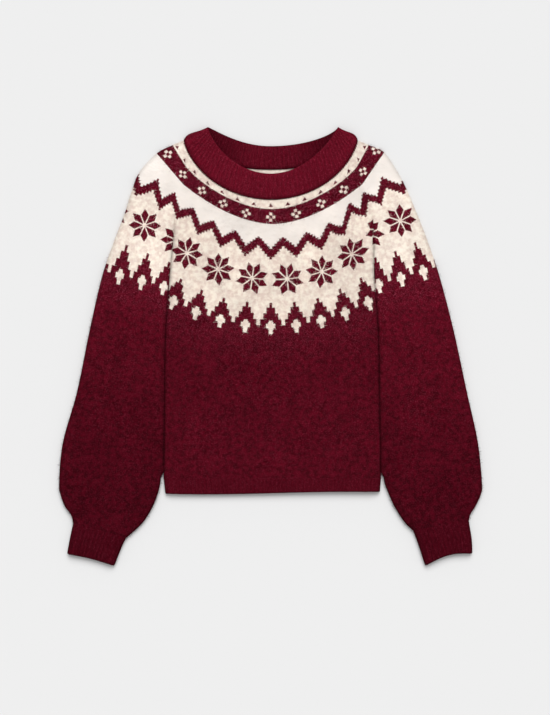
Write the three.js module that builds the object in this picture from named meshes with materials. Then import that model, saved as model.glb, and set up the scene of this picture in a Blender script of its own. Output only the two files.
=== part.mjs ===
// A fair isle jumper laid flat on a surface, front up, sleeves beside the body.
// Millimetres. X to the right, Y towards the neck, Z up from the surface it lies on.
// The origin is on that surface, in the middle of the jumper's outline.
import * as THREE from 'three';

// Knit thicknesses
const WALL = 2.8;
const RIB_WALL = 3.2;
const NECKBAND_WALL = 4.6;

// Seams and folds
const SEAM_GAP = 0.3;
const HALF_GAP = SEAM_GAP / 2;
const SEAM_HEIGHT = 7.4;
const BODY_ROLL_WIDTH = 13;
const SLEEVE_ROLL_WIDTH = 24;
const FOLD_TOP_WIDTH = 26;
const FOLD_UNDER_WIDTH = 5;
const SIDE_SEAM_HEIGHT = WALL + SEAM_GAP;
const NECKBAND_FOLD_WIDTH = 14;
const BAND_FOLD_WIDTH = 12;

// Ribs: one knit and one purl column each, raised on the faces that show
const RIB_PITCH = 6;
const RIB_RELIEF = 0.8;

// Neckband, flattened between its folds at the shoulders. Each of its lines is a half ellipse in front and
// a shallower one behind: its half widths left and right of the middle, how far it turns to its folds, in
// degrees, and the centre's Y, the depth and the fullness left and right of its drop, in front and behind.
const NECK_SEAM = {
  halfWidths: [135, 135],
  reach: 76.2,
  front: { centre: 338.4, depth: 118, fullness: [1, 1] },
  back: { centre: 324.2, depth: 58.7, fullness: [1, 1] },
};
const NECK_EDGE = {
  halfWidths: [94.1, 100.9],
  reach: 90,
  front: { centre: 329.8, depth: 70.3, fullness: [1.42, 1.75] },
  back: { centre: 329.8, depth: 28.5, fullness: [2.2, 1.4] },
};

// How far the neckband's folds round outwards near the seam, and the share of its length that this takes
const NECKBAND_CORNER = 4;
const NECKBAND_CORNER_SHARE = 0.08;
const NECK_SEAM_CLEARANCE = 0.4;
const COURSES_FITTED_TO_NECK = 4;
const NECKBAND_HEIGHT = 9.8;

// Hem band and cuffs
const HEM_HEIGHT = 8.2;
const CUFF_HEIGHT = 9;
const HEM_TOP = { left: -161.0, right: 165.6, y: -198.9 };
const HEM_EDGE = { left: -158.3, right: 164.0, y: -219.9 };
const HEM_WAVE = { count: 0.75, start: -2.42, depth: 2.0, lift: 1.4 };

// The body's front and back, a row for each ring of the yoke and for the plain knit below it.
// middle, behind: Y of the ring at centre front and at centre back. edge: its Y at the sleeve joins.
// left, right: X of those joins. bow: how late the ring turns up towards them. puff: how far it stands up.
// turn: how far the edge rolls down beside the sleeve, from 0, level with it, to 1, down to the side fold.
const BODY_ROWS = [
  { middle: 220.0, behind: 264.9, edge: 292.6, left: -123.0, right: 123.0, bow: 2.7, puff: 0.0, turn: 0 },
  { middle: 205.7, behind: 250.0, edge: 270.8, left: -126.8, right: 129.0, bow: 2.1, puff: 0.3, turn: 0 },
  { middle: 183.6, behind: 226.0, edge: 243.0, left: -131.2, right: 137.2, bow: 1.8, puff: 0.6, turn: 0 },
  { middle: 163.2, behind: 203.0, edge: 224.3, left: -137.2, right: 145.5, bow: 1.9, puff: 0.8, turn: 0 },
  { middle: 132.5, behind: 170.0, edge: 195.8, left: -143.6, right: 153.0, bow: 2.0, puff: 1.0, turn: 0.1 },
  { middle: 100.5, behind: 135.0, edge: 155.3, left: -147.0, right: 155.2, bow: 2.1, puff: 1.0, turn: 0.35 },
  { middle: 65.6, behind: 96.0, edge: 113.3, left: -151.4, right: 155.5, bow: 2.4, puff: 0.9, turn: 0.6 },
  { middle: 17.6, behind: 44.0, edge: 57.8, left: -155.9, right: 159.8, bow: 2.0, puff: 0.7, turn: 0.85 },
  { middle: -23.3, behind: -8.0, edge: 2.3, left: -159.0, right: 162.8, bow: 2.0, puff: 0.5, turn: 1 },
  { middle: -95.3, behind: -85.0, edge: -80.3, left: -159.8, right: 164.0, bow: 2.0, puff: 0.4, turn: 1 },
  { middle: -152.3, behind: -148.0, edge: -146.3, left: -160.5, right: 165.0, bow: 2.0, puff: 0.3, turn: 1 },
  { middle: -198.6, behind: -198.6, edge: -198.6, left: -161.0, right: 165.6, bow: 2.0, puff: 0.0, turn: 1 },
];

// The sleeves beside the body, a row for each row of the body table, X counted outwards.
// outX, outY: the sleeve's outer fold. height: thickness of the folded sleeve.
const LEFT_UPPER_SLEEVE = [
  { outX: 131.0, outY: 310.0, height: 8.8 },
  { outX: 147.0, outY: 303.0, height: 8.6 },
  { outX: 171.5, outY: 290.0, height: 8.6 },
  { outX: 197.5, outY: 261.5, height: 8.8 },
  { outX: 208.5, outY: 234.0, height: 9.1 },
  { outX: 222.8, outY: 189.0, height: 9.3 },
  { outX: 239.0, outY: 147.0, height: 9.4 },
  { outX: 258.8, outY: 86.0, height: 9.4 },
  { outX: 272.3, outY: 23.0, height: 9.4 },
  { outX: 291.0, outY: -68.0, height: 9.4 },
  { outX: 312.0, outY: -143.0, height: 9.4 },
  { outX: 318.0, outY: -204.0, height: 9.4 },
];
const RIGHT_UPPER_SLEEVE = [
  { outX: 131.0, outY: 310.0, height: 8.8 },
  { outX: 147.0, outY: 303.0, height: 8.6 },
  { outX: 170.5, outY: 291.5, height: 8.6 },
  { outX: 191.0, outY: 261.0, height: 8.8 },
  { outX: 205.0, outY: 234.0, height: 9.1 },
  { outX: 222.8, outY: 189.0, height: 9.3 },
  { outX: 239.0, outY: 147.0, height: 9.4 },
  { outX: 259.0, outY: 86.0, height: 9.4 },
  { outX: 275.0, outY: 23.0, height: 9.4 },
  { outX: 294.6, outY: -68.0, height: 9.4 },
  { outX: 311.0, outY: -143.0, height: 9.4 },
  { outX: 317.3, outY: -204.0, height: 9.4 },
];

// The sleeves below the hem, down to the top of the cuff. inX, inY: the inner fold.
const LEFT_LOWER_SLEEVE = [
  { inX: 168.4, inY: -217.0, outX: 315.6, outY: -223.0, height: 9.4 },
  { inX: 177.5, inY: -241.0, outX: 309.0, outY: -240.5, height: 9.4 },
  { inX: 193.0, inY: -265.5, outX: 300.0, outY: -253.0, height: 9.2 },
  { inX: 216.5, inY: -287.2, outX: 296.8, outY: -266.0, height: 9.0 },
];
const RIGHT_LOWER_SLEEVE = [
  { inX: 175.0, inY: -216.0, outX: 316.0, outY: -221.0, height: 9.4 },
  { inX: 185.6, inY: -240.0, outX: 308.0, outY: -239.0, height: 9.4 },
  { inX: 200.5, inY: -263.5, outX: 300.0, outY: -252.0, height: 9.2 },
  { inX: 213.2, inY: -276.0, outX: 297.4, outY: -263.0, height: 9.0 },
];

// The cuffs, from the sleeve down: X counted outwards. sag: how far the lower edge bows at its middle.
const LEFT_CUFF_ROWS = [
  { inX: 216.5, inY: -287.6, outX: 296.8, outY: -266.4, sag: 0 },
  { inX: 225.0, inY: -304.0, outX: 301.8, outY: -288.5, sag: 1 },
  { inX: 234.8, inY: -329.5, outX: 306.0, outY: -311.5, sag: 2 },
];
const RIGHT_CUFF_ROWS = [
  { inX: 213.2, inY: -276.4, outX: 297.4, outY: -263.4, sag: 0 },
  { inX: 222.2, inY: -299.0, outX: 301.9, outY: -288.5, sag: 3 },
  { inX: 231.8, inY: -329.5, outX: 303.0, outY: -311.0, sag: 7 },
];

// Soft creases. x, y: middle. angle: its direction in degrees from X. length, width: its reach.
// rise: height of a ridge, or depth of a trough where it is below 0.
const BODY_CREASES = [
  { x: -118, y: 88, angle: 62, length: 120, width: 15, rise: -0.9 },
  { x: 121, y: 80, angle: 116, length: 130, width: 14, rise: -1.0 },
  { x: -96, y: -20, angle: 74, length: 170, width: 20, rise: 0.8 },
  { x: 104, y: -45, angle: 102, length: 190, width: 22, rise: 0.7 },
  { x: -38, y: -120, angle: 84, length: 150, width: 24, rise: -0.6 },
  { x: 52, y: -150, angle: 97, length: 120, width: 20, rise: -0.7 },
  { x: 5, y: -60, angle: 12, length: 190, width: 26, rise: 0.5 },
];
const SLEEVE_CREASES = [
  { x: 196, y: 112, angle: 58, length: 90, width: 13, rise: -1.0 },
  { x: 214, y: 20, angle: 98, length: 150, width: 17, rise: -0.8 },
  { x: 246, y: -82, angle: 104, length: 130, width: 18, rise: -0.9 },
  { x: 204, y: -150, angle: 82, length: 110, width: 16, rise: -0.8 },
  { x: 238, y: -226, angle: 100, length: 70, width: 11, rise: -1.2 },
  { x: 268, y: -236, angle: 84, length: 62, width: 10, rise: -1.2 },
  { x: 212, y: -238, angle: 122, length: 54, width: 10, rise: -1.1 },
];

// How far from a panel's edges its puff and its creases reach their full height
const PUFF_MARGIN = 60;
const BODY_CREASE_MARGIN = 45;
const SLEEVE_CREASE_MARGIN = 26;
const SLEEVE_LEVELLING = 40;

// Each panel's grid: courses for each row of its table, and columns between its rolled edges. A rolled
// edge has its own columns, at these shares of its width.
const STEPS_PER_ROW = 2;
const FRONT_COLUMNS = 16;
const BACK_COLUMNS = 18;
const SLEEVE_TOP_COLUMNS = 4;
const SLEEVE_UNDER_COLUMNS = 2;
const BAND_UNDER_COLUMNS = 20;
const ROLL_COLUMNS = [0, 0.1, 0.4, 1];
const BAND_ROLL_COLUMNS = [0.1, 0.35, 0.7];

const BURGUNDY = { color: 0x4f0d1c, roughness: 0.95, metalness: 0 };
const BURGUNDY_RIB = { color: 0x5c1324, roughness: 0.95, metalness: 0 };

const clamp01 = (value) => Math.min(1, Math.max(0, value));
const mix = (from, to, share) => from + (to - from) * share;
const smooth = (share) => clamp01(share) ** 2 * (3 - 2 * clamp01(share));

// A table's row at a place between its first row, 0, and its last, 1, on a smooth curve through them all.
function rowAt(rows, place) {
  const at = clamp01(place) * (rows.length - 1);
  const index = Math.min(rows.length - 2, Math.floor(at));
  const share = at - index;
  const row = {};
  for (const key of Object.keys(rows[0])) {
    const [before, from, to, after] = [-1, 0, 1, 2].map(
      (step) => rows[Math.min(rows.length - 1, Math.max(0, index + step))][key],
    );
    const slopeFrom = (to - before) / 2;
    const slopeTo = (after - from) / 2;
    const square = share * share;
    const cube = square * share;
    row[key] =
      (2 * cube - 3 * square + 1) * from +
      (cube - 2 * square + share) * slopeFrom +
      (3 * square - 2 * cube) * to +
      (cube - square) * slopeTo;
  }
  return row;
}

// How much of its full height a rolled edge has at a distance from where it ends: a quarter ellipse.
const roundOff = (distance, width) => Math.sqrt(1 - (1 - clamp01(distance / width)) ** 2);

// How far a panel's point is moved in Y so that its first course lies along the neck seam. x, y: where the
// panel's own first course has that point. layer: front or back.
function fitToNeck(layer, x, y, course) {
  const halfWidth = NECK_SEAM.halfWidths[0] + NECK_SEAM_CLEARANCE;
  const { centre, depth } = NECK_SEAM[layer];
  const drop = (depth + NECK_SEAM_CLEARANCE) * Math.sqrt(1 - (x / halfWidth) ** 2);
  return (centre - drop - y) * smooth(1 - course / COURSES_FITTED_TO_NECK);
}

// Height that the soft creases add at a point.
function creaseHeight(creases, x, y) {
  let height = 0;
  for (const crease of creases) {
    const turn = THREE.MathUtils.degToRad(crease.angle);
    const along = (x - crease.x) * Math.cos(turn) + (y - crease.y) * Math.sin(turn);
    const across = (y - crease.y) * Math.cos(turn) - (x - crease.x) * Math.sin(turn);
    const reach = (2 * along) / crease.length;
    height += crease.rise * Math.exp(-(reach ** 4) - (across / crease.width) ** 2);
  }
  return height;
}

// A closed wall between two grids of points, outer and inner, row by row. A ring's rows close on themselves.
function wall(outer, inner, isRing) {
  const rows = outer.length;
  const columns = outer[0].length;
  const positions = [];
  for (const grid of [outer, inner]) {
    for (const point of grid.flat()) {
      positions.push(...point);
    }
  }
  const out = (row, column) => row * columns + (column % columns);
  const back = (row, column) => rows * columns + out(row, column);
  const faces = [];
  const quad = (a, b, c, d) => faces.push(a, b, c, a, c, d);
  const last = rows - 1;
  const lastColumn = isRing ? columns : columns - 1;
  for (let column = 0; column < lastColumn; column += 1) {
    for (let row = 0; row < rows - 1; row += 1) {
      quad(out(row, column), out(row + 1, column), out(row + 1, column + 1), out(row, column + 1));
      quad(back(row, column), back(row, column + 1), back(row + 1, column + 1), back(row + 1, column));
    }
    quad(out(0, column), out(0, column + 1), back(0, column + 1), back(0, column));
    quad(out(last, column), back(last, column), back(last, column + 1), out(last, column + 1));
  }
  if (!isRing) {
    const end = columns - 1;
    for (let row = 0; row < rows - 1; row += 1) {
      quad(out(row, 0), back(row, 0), back(row + 1, 0), out(row + 1, 0));
      quad(out(row, end), out(row + 1, end), back(row + 1, end), back(row, end));
    }
  }
  const geometry = new THREE.BufferGeometry();
  geometry.setAttribute('position', new THREE.Float32BufferAttribute(positions, 3));
  geometry.setIndex(faces);
  geometry.computeVertexNormals();
  return geometry;
}

function piece(name, geometry, finish) {
  const mesh = new THREE.Mesh(geometry, new THREE.MeshStandardMaterial(finish));
  mesh.name = name;
  return mesh;
}

// Distances along an edge-to-edge line, close together where its ends are rolled.
function stations(length, rollFrom, rollTo, middleColumns) {
  const places = ROLL_COLUMNS.map((share) => share * rollFrom);
  for (let step = 1; step < middleColumns; step += 1) {
    places.push(mix(rollFrom, length - rollTo, step / middleColumns));
  }
  return places.concat(ROLL_COLUMNS.map((share) => length - share * rollTo).reverse());
}

// The front: level with the sleeves at the yoke, and below it rolled down at both sides to the side seams.
function frontGeometry() {
  const outer = [];
  const inner = [];
  const courses = (BODY_ROWS.length - 1) * STEPS_PER_ROW;
  const neck = BODY_ROWS[0];
  for (let course = 0; course <= courses; course += 1) {
    const row = rowAt(BODY_ROWS, course / courses);
    const half = (row.right - row.left) / 2;
    const centre = (row.right + row.left) / 2;
    const turn = clamp01(row.turn);
    const outerRow = [];
    const innerRow = [];
    for (const place of stations(2 * half, BODY_ROLL_WIDTH, BODY_ROLL_WIDTH, FRONT_COLUMNS)) {
      const fromEdge = Math.min(place, 2 * half - place);
      const across = place / half - 1;
      const x = centre + across * (half - HALF_GAP);
      const neckY = mix(neck.middle, neck.edge, Math.abs(across) ** neck.bow);
      const fit = fitToNeck('front', across * (neck.right - HALF_GAP), neckY, course);
      const y = mix(row.middle, row.edge, Math.abs(across) ** row.bow) + fit;
      const inset = centre + across * (half - HALF_GAP - WALL * turn);
      const rolled = turn * (1 - roundOff(fromEdge, BODY_ROLL_WIDTH));
      const inPanel = smooth(course / 3) * smooth((courses - course) / 2);
      const softness = smooth(fromEdge / BODY_CREASE_MARGIN) * inPanel;
      const raised = row.puff * smooth(fromEdge / PUFF_MARGIN) + softness * creaseHeight(BODY_CREASES, x, y);
      const top = SEAM_HEIGHT + raised;
      outerRow.push([x, y, mix(top, SIDE_SEAM_HEIGHT, rolled)]);
      innerRow.push([inset, y, mix(top - WALL, SIDE_SEAM_HEIGHT, rolled)]);
    }
    outer.push(outerRow);
    inner.push(innerRow);
  }
  return wall(outer, inner, false);
}

// The back: flat on the surface, with the higher neckline.
function backGeometry() {
  const outer = [];
  const inner = [];
  const courses = (BODY_ROWS.length - 1) * STEPS_PER_ROW;
  const neck = BODY_ROWS[0];
  for (let course = 0; course <= courses; course += 1) {
    const row = rowAt(BODY_ROWS, course / courses);
    const half = (row.right - row.left) / 2 - HALF_GAP;
    const centre = (row.right + row.left) / 2;
    const outerRow = [];
    const innerRow = [];
    for (let column = 0; column <= BACK_COLUMNS; column += 1) {
      const across = 1 - (2 * column) / BACK_COLUMNS;
      const x = centre + across * half;
      const neckY = mix(neck.behind, neck.edge, Math.abs(across) ** neck.bow);
      const fit = fitToNeck('back', across * (neck.right - HALF_GAP), neckY, course);
      const y = mix(row.behind, row.edge, Math.abs(across) ** row.bow) + fit;
      outerRow.push([x, y, 0]);
      innerRow.push([x, y, WALL]);
    }
    outer.push(outerRow);
    inner.push(innerRow);
  }
  return wall(outer, inner, false);
}

// A sleeve: one piece folded along its outer edge. Its own two edges meet the front and the back at the
// yoke, and each other at the underarm below it. side is -1 for the left sleeve and 1 for the right.
function sleeveGeometry(upper, lower, side) {
  const outer = [];
  const inner = [];
  const beside = BODY_ROWS.map((row, index) => {
    const inX = side < 0 ? -row.left : row.right;
    return { ...upper[index], inX, inY: row.edge, turn: row.turn };
  });
  const rows = beside.concat(lower.map((row) => ({ ...row, turn: 1 })));
  const courses = (rows.length - 1) * STEPS_PER_ROW;
  for (let course = 0; course <= courses; course += 1) {
    const row = rowAt(rows, course / courses);
    const run = new THREE.Vector2(row.outX - row.inX, row.outY - row.inY);
    const length = run.length();
    run.normalize();
    const turn = clamp01(row.turn);
    const roll = Math.min(SLEEVE_ROLL_WIDTH, length * 0.3);
    const fold = Math.min(FOLD_TOP_WIDTH, length * 0.5);
    const meeting = row.height / 2;
    const outerRow = [];
    const innerRow = [];
    const put = (list, layer, distance, z) => {
      const neckX = mix(rows[0].inX, rows[0].outX, distance / length) + HALF_GAP;
      const neckY = mix(rows[0].inY, rows[0].outY, distance / length);
      const x = row.inX + run.x * distance;
      const y = row.inY + run.y * distance + fitToNeck(layer, neckX, neckY, course);
      list.push([side * (x + HALF_GAP), y, z]);
    };
    for (const place of stations(length, roll, fold, SLEEVE_TOP_COLUMNS)) {
      const share = place / length;
      const rolled = turn * (1 - roundOff(place, roll));
      const levelled = (1 - turn) * (1 - smooth(place / SLEEVE_LEVELLING));
      const fromFolds = Math.min(place, length - place);
      const softness = smooth(fromFolds / SLEEVE_CREASE_MARGIN) * smooth(course / 3);
      const x = row.inX + run.x * place;
      const y = row.inY + run.y * place;
      const crown = mix(row.height, SEAM_HEIGHT, levelled) + softness * creaseHeight(SLEEVE_CREASES, x, y);
      const folded = 1 - roundOff(length - place, fold);
      const skin = mix(mix(crown, meeting + HALF_GAP, rolled), meeting, folded);
      const lining = mix(mix(crown - WALL, meeting + HALF_GAP, rolled), meeting, folded);
      put(outerRow, 'front', place, skin);
      put(innerRow, 'front', place + WALL * turn * (1 - share) - WALL * share, lining);
    }
    const under = stations(length, roll, FOLD_UNDER_WIDTH, SLEEVE_UNDER_COLUMNS);
    for (const place of under.reverse().slice(1)) {
      const share = place / length;
      const rolled = turn * (1 - roundOff(place, roll));
      const folded = 1 - roundOff(length - place, FOLD_UNDER_WIDTH);
      const skin = mix(mix(0, meeting - HALF_GAP, rolled), meeting, folded);
      const lining = mix(mix(WALL, meeting - HALF_GAP, rolled), meeting, folded);
      put(outerRow, 'back', place, skin);
      put(innerRow, 'back', place + WALL * turn * (1 - share) - WALL * share, lining);
    }
    outer.push(side < 0 ? outerRow.reverse() : outerRow);
    inner.push(side < 0 ? innerRow.reverse() : innerRow);
  }
  return wall(outer, inner, false);
}

// A ribbed band: a flattened tube whose rows run between two folds. front and back give a point of a row
// at a share of the way from the left fold to the right one.
function bandGeometry({ rows, front, back, height, thickness, fold, lift }) {
  const outer = [];
  const inner = [];
  const length = lineLength(front);
  const inset = thickness / length;
  const foldShare = fold / length;
  const columns = 2 * Math.round(length / RIB_PITCH);
  const nearFold = BAND_ROLL_COLUMNS.map((part) => part * foldShare);
  const shares = [...nearFold];
  for (let column = 0; column <= columns; column += 1) {
    shares.push(mix(foldShare, 1 - foldShare, column / columns));
  }
  shares.push(...nearFold.map((share) => 1 - share).reverse());
  for (let row = 0; row <= rows; row += 1) {
    const outerRow = [];
    const innerRow = [];
    const down = row / rows;
    shares.forEach((share, index) => {
      const round = roundOff(Math.min(share, 1 - share), foldShare);
      const isPurl = index % 2 === 0;
      const rib = isPurl ? -RIB_RELIEF * smooth(Math.min(share, 1 - share) / foldShare) : 0;
      const raised = lift(share, down);
      const [x, y] = front(share, down);
      const [innerX, innerY] = front(mix(inset, 1 - inset, share), down);
      outerRow.push([x, y, height / 2 + (height / 2) * round + rib + raised * round]);
      innerRow.push([innerX, innerY, height / 2 + (height / 2 - thickness) * round + raised * round]);
    });
    for (let column = BAND_UNDER_COLUMNS; column >= 0; column -= 1) {
      const share = column / BAND_UNDER_COLUMNS;
      const round = roundOff(Math.min(share, 1 - share), foldShare / 2);
      const [x, y] = back(share, down);
      const [innerX, innerY] = back(mix(inset, 1 - inset, share), down);
      outerRow.push([x, y, height / 2 - (height / 2) * round]);
      innerRow.push([innerX, innerY, height / 2 - (height / 2 - thickness) * round]);
    }
    outer.push(outerRow);
    inner.push(innerRow);
  }
  return wall(outer, inner, true);
}

// Length of a band's first row, measured over short steps.
function lineLength(line) {
  const steps = 64;
  let length = 0;
  for (let step = 0; step < steps; step += 1) {
    const from = line(step / steps, 0);
    const to = line((step + 1) / steps, 0);
    length += Math.hypot(to[0] - from[0], to[1] - from[1]);
  }
  return length;
}

// A point of one of the neckband's two lines, at a share of the way from the left fold to the right one.
function neckLinePoint(neckLine, layer, share, clearance) {
  const turn = THREE.MathUtils.degToRad((2 * share - 1) * neckLine.reach);
  const side = turn < 0 ? 0 : 1;
  const { centre, depth, fullness } = neckLine[layer];
  const x = (neckLine.halfWidths[side] - clearance) * Math.sin(turn);
  return [x, centre - (depth - clearance) * Math.max(Math.cos(turn), 0) ** fullness[side]];
}

// The doubled neckband. down runs from its free edge, 0, to its seam with the yoke, 1.
function neckbandGeometry() {
  const line = (layer) => (share, down) => {
    const edge = neckLinePoint(NECK_EDGE, layer, share, 0);
    const seam = neckLinePoint(NECK_SEAM, layer, share, NECK_SEAM_CLEARANCE);
    const atFold = smooth(1 - Math.min(share, 1 - share) / NECKBAND_CORNER_SHARE);
    const corner = NECKBAND_CORNER * atFold * Math.sin(Math.PI * down ** 2.2);
    const x = mix(edge[0], seam[0], down) + 0.49 * corner * (share < 0.5 ? -1 : 1);
    return [x, mix(edge[1], seam[1], down) + 0.87 * corner];
  };
  return bandGeometry({
    rows: 4,
    front: line('front'),
    back: line('back'),
    height: NECKBAND_HEIGHT,
    thickness: NECKBAND_WALL,
    fold: NECKBAND_FOLD_WIDTH,
    lift: () => 0,
  });
}

// The hem band, with its gentle waves growing towards the edge.
function hemBandGeometry() {
  const wave = (share) => Math.sin(share * HEM_WAVE.count * 2 * Math.PI + HEM_WAVE.start);
  const line = (share, down) => [
    mix(mix(HEM_TOP.left, HEM_EDGE.left, down), mix(HEM_TOP.right, HEM_EDGE.right, down), share),
    mix(HEM_TOP.y, HEM_EDGE.y, down) + HEM_WAVE.depth * down * wave(share),
  ];
  return bandGeometry({
    rows: 2,
    front: line,
    back: line,
    height: HEM_HEIGHT,
    thickness: RIB_WALL,
    fold: BAND_FOLD_WIDTH,
    lift: (share, down) => HEM_WAVE.lift * down * (0.5 + wave(share) / 2),
  });
}

// A cuff, on the left, side -1, or on the right, side 1.
function cuffGeometry(rows, side) {
  const line = (share, down) => {
    const row = rowAt(rows, down);
    const outwards = side < 0 ? 1 - share : share;
    const x = mix(row.inX, row.outX, outwards);
    const y = mix(row.inY, row.outY, outwards) + row.sag * Math.sin(outwards * Math.PI);
    return [side * x, y];
  };
  return bandGeometry({
    rows: 3,
    front: line,
    back: line,
    height: CUFF_HEIGHT,
    thickness: RIB_WALL,
    fold: BAND_FOLD_WIDTH,
    lift: () => 0,
  });
}

const jumper = new THREE.Group();
jumper.name = 'jumper';
jumper.add(
  piece('front', frontGeometry(), BURGUNDY),
  piece('back', backGeometry(), BURGUNDY),
  piece('left_sleeve', sleeveGeometry(LEFT_UPPER_SLEEVE, LEFT_LOWER_SLEEVE, -1), BURGUNDY),
  piece('right_sleeve', sleeveGeometry(RIGHT_UPPER_SLEEVE, RIGHT_LOWER_SLEEVE, 1), BURGUNDY),
  piece('neckband', neckbandGeometry(), BURGUNDY_RIB),
  piece('hem_band', hemBandGeometry(), BURGUNDY_RIB),
  piece('left_cuff', cuffGeometry(LEFT_CUFF_ROWS, -1), BURGUNDY_RIB),
  piece('right_cuff', cuffGeometry(RIGHT_CUFF_ROWS, 1), BURGUNDY_RIB),
);

export default jumper;
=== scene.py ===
# %% [markdown]
# # A patterned yoke jumper, laid flat
# The jumper is knitted in brushed wool: a body, two full sleeves that meet it in a round patterned yoke, and
# ribbed bands at the neck, hem and cuffs. It lies on its back on a pale surface. The solids of the packed
# part give every size here, and each knitted piece is made again as a soft shell on the form of its solid.

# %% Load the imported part
import functools
import math
import bpy
import numpy as np
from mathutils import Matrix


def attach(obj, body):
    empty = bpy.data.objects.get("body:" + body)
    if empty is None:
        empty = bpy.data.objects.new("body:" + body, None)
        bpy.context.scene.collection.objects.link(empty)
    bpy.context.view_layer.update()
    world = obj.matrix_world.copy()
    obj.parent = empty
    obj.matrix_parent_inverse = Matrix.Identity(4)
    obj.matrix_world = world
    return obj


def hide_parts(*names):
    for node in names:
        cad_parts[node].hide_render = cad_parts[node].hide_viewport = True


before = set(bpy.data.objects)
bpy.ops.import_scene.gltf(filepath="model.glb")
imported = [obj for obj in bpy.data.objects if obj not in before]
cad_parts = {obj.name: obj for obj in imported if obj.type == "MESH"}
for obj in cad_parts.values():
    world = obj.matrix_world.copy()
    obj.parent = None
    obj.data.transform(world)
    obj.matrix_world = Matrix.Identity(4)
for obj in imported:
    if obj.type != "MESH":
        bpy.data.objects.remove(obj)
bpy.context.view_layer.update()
print("solids:", sorted(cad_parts))

# %% [markdown]
# A few helpers serve all that follows. Colours are sRGB hex values, as a dyer's card would give them, and one
# function turns them to the linear values that the shader adds light in. The others add nodes, fill their
# sockets, write sums as sums, and put new objects in the scene.

# %% Colours and nodes
MM = 0.001


def linear(hex_colour):
    """An sRGB hex colour as linear red, green, blue and alpha."""
    shares = [int(hex_colour[place:place + 2], 16) / 255 for place in (1, 3, 5)]
    return (*[s / 12.92 if s <= 0.04045 else ((s + 0.055) / 1.055) ** 2.4 for s in shares], 1.0)


def set_inputs(node, inputs):
    """Gives a node's sockets values, or links to outputs. A node among them stands for its first output."""
    for name, value in inputs.items():
        value = getattr(value, "socket", value)
        value = value.outputs[0] if isinstance(value, bpy.types.Node) else value
        if isinstance(value, bpy.types.NodeSocket):
            node.id_data.links.new(value, node.inputs[name])
        else:
            node.inputs[name].default_value = value
    return node


def add_node(tree, kind, settings=None, inputs=None):
    """A new node. settings are its properties, inputs its sockets' values or links."""
    node = tree.nodes.new(kind)
    for name, value in (settings or {}).items():
        setattr(node, name, value)
    return set_inputs(node, inputs or {})


class Sum:
    """A number that math nodes work out, so that sums on it are written as sums."""
    def __init__(self, socket):
        self.socket = socket

    def then(self, operation, *others):
        """The result of a math node on this number and others."""
        values = dict(enumerate((self.socket, *others)))
        return Sum(add_node(self.socket.id_data, "ShaderNodeMath", {"operation": operation}, values))


SIGNS = "add ADD sub SUBTRACT mul MULTIPLY truediv DIVIDE lt LESS_THAN gt GREATER_THAN".split()
for sign, operation in zip(SIGNS[::2], SIGNS[1::2]):
    setattr(Sum, f"__{sign}__", functools.partialmethod(Sum.then, operation))


def add_vector_maths(tree, operation, *values):
    """The result of a vector math node on these values."""
    return add_node(tree, "ShaderNodeVectorMath", {"operation": operation}, dict(enumerate(values)))


def add_material(name, surface):
    """A material and its shader, with these values."""
    material = bpy.data.materials.new(name)
    material.use_nodes = True
    return material, set_inputs(material.node_tree.nodes["Principled BSDF"], surface)


def add_to_scene(name, data):
    """A new object with this data, in the scene."""
    thing = bpy.data.objects.new(name, data)
    bpy.context.scene.collection.objects.link(thing)
    return thing


print("burgundy in linear light:", [round(c, 4) for c in linear("#510C1C")])

# %% [markdown]
# The view comes first. The camera looks straight down from 2.53 m with an 85 mm lens. The light is that of a
# white studio: an even surround, and a large soft panel far beyond the neck, which makes folds and ribs
# readable and lays the soft shadow below the hem. A sun lamp with a wide angle is that panel.

# %% Camera
LENS = 85
SENSOR_HEIGHT = 36
VIEW_HEIGHT = 1.0725
VIEW_CENTRE = (0.0064, -0.0165)
SURFACE_OF_CLOTH = 0.008

camera_data = bpy.data.cameras.new("camera")
camera_data.lens = LENS
camera_data.sensor_fit = "VERTICAL"
camera_data.sensor_height = SENSOR_HEIGHT
camera = add_to_scene("camera", camera_data)
camera.location = (*VIEW_CENTRE, LENS / SENSOR_HEIGHT * VIEW_HEIGHT + SURFACE_OF_CLOTH)
bpy.context.scene.camera = camera
bpy.context.scene.view_settings.view_transform = "Standard"
print("camera height:", round(camera.location.z, 3))

# %% Floor and light
FLOOR_HALF = 4
FLOOR_GAP = 0.0002
PAPER = {"Base Color": linear("#E6E6E6"), "Roughness": 1.0, "Specular IOR Level": 0.0}

floor_mesh = bpy.data.meshes.new("floor")
floor_corners = [(x * FLOOR_HALF, y * FLOOR_HALF, 0) for x, y in ((-1, -1), (1, -1), (1, 1), (-1, 1))]
floor_mesh.from_pydata(floor_corners, [], [(0, 1, 2, 3)])
floor = add_to_scene("floor", floor_mesh)
floor.location.z = -FLOOR_GAP
floor_mesh.materials.append(add_material("matt_white_paper", PAPER)[0])

world = bpy.data.worlds.new("white_studio")
world.use_nodes = True
set_inputs(world.node_tree.nodes["Background"], {"Color": (1, 1, 1, 1), "Strength": 0.547})
bpy.context.scene.world = world

panel_data = bpy.data.lights.new("far_soft_panel", "SUN")
panel_data.energy = 2.3
panel_data.angle = math.radians(44)
panel = add_to_scene("far_soft_panel", panel_data)
panel.rotation_euler = (math.radians(-42), 0, math.radians(-6))
print("light:", panel_data.energy, "from beyond the neck, and an even surround")

# %% [markdown]
# A circular yoke is knitted in rings, so a table holds the rings of the body from the neck seam down, the same
# rows that the solids are made from. On each the stitches hang in a curve: lowest at the middle of the front,
# highest where the sleeves begin. Smooth curves through the table give any ring between. `chart_row` says how
# many rows of knitting lie above the ring, which places the pattern.

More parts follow.
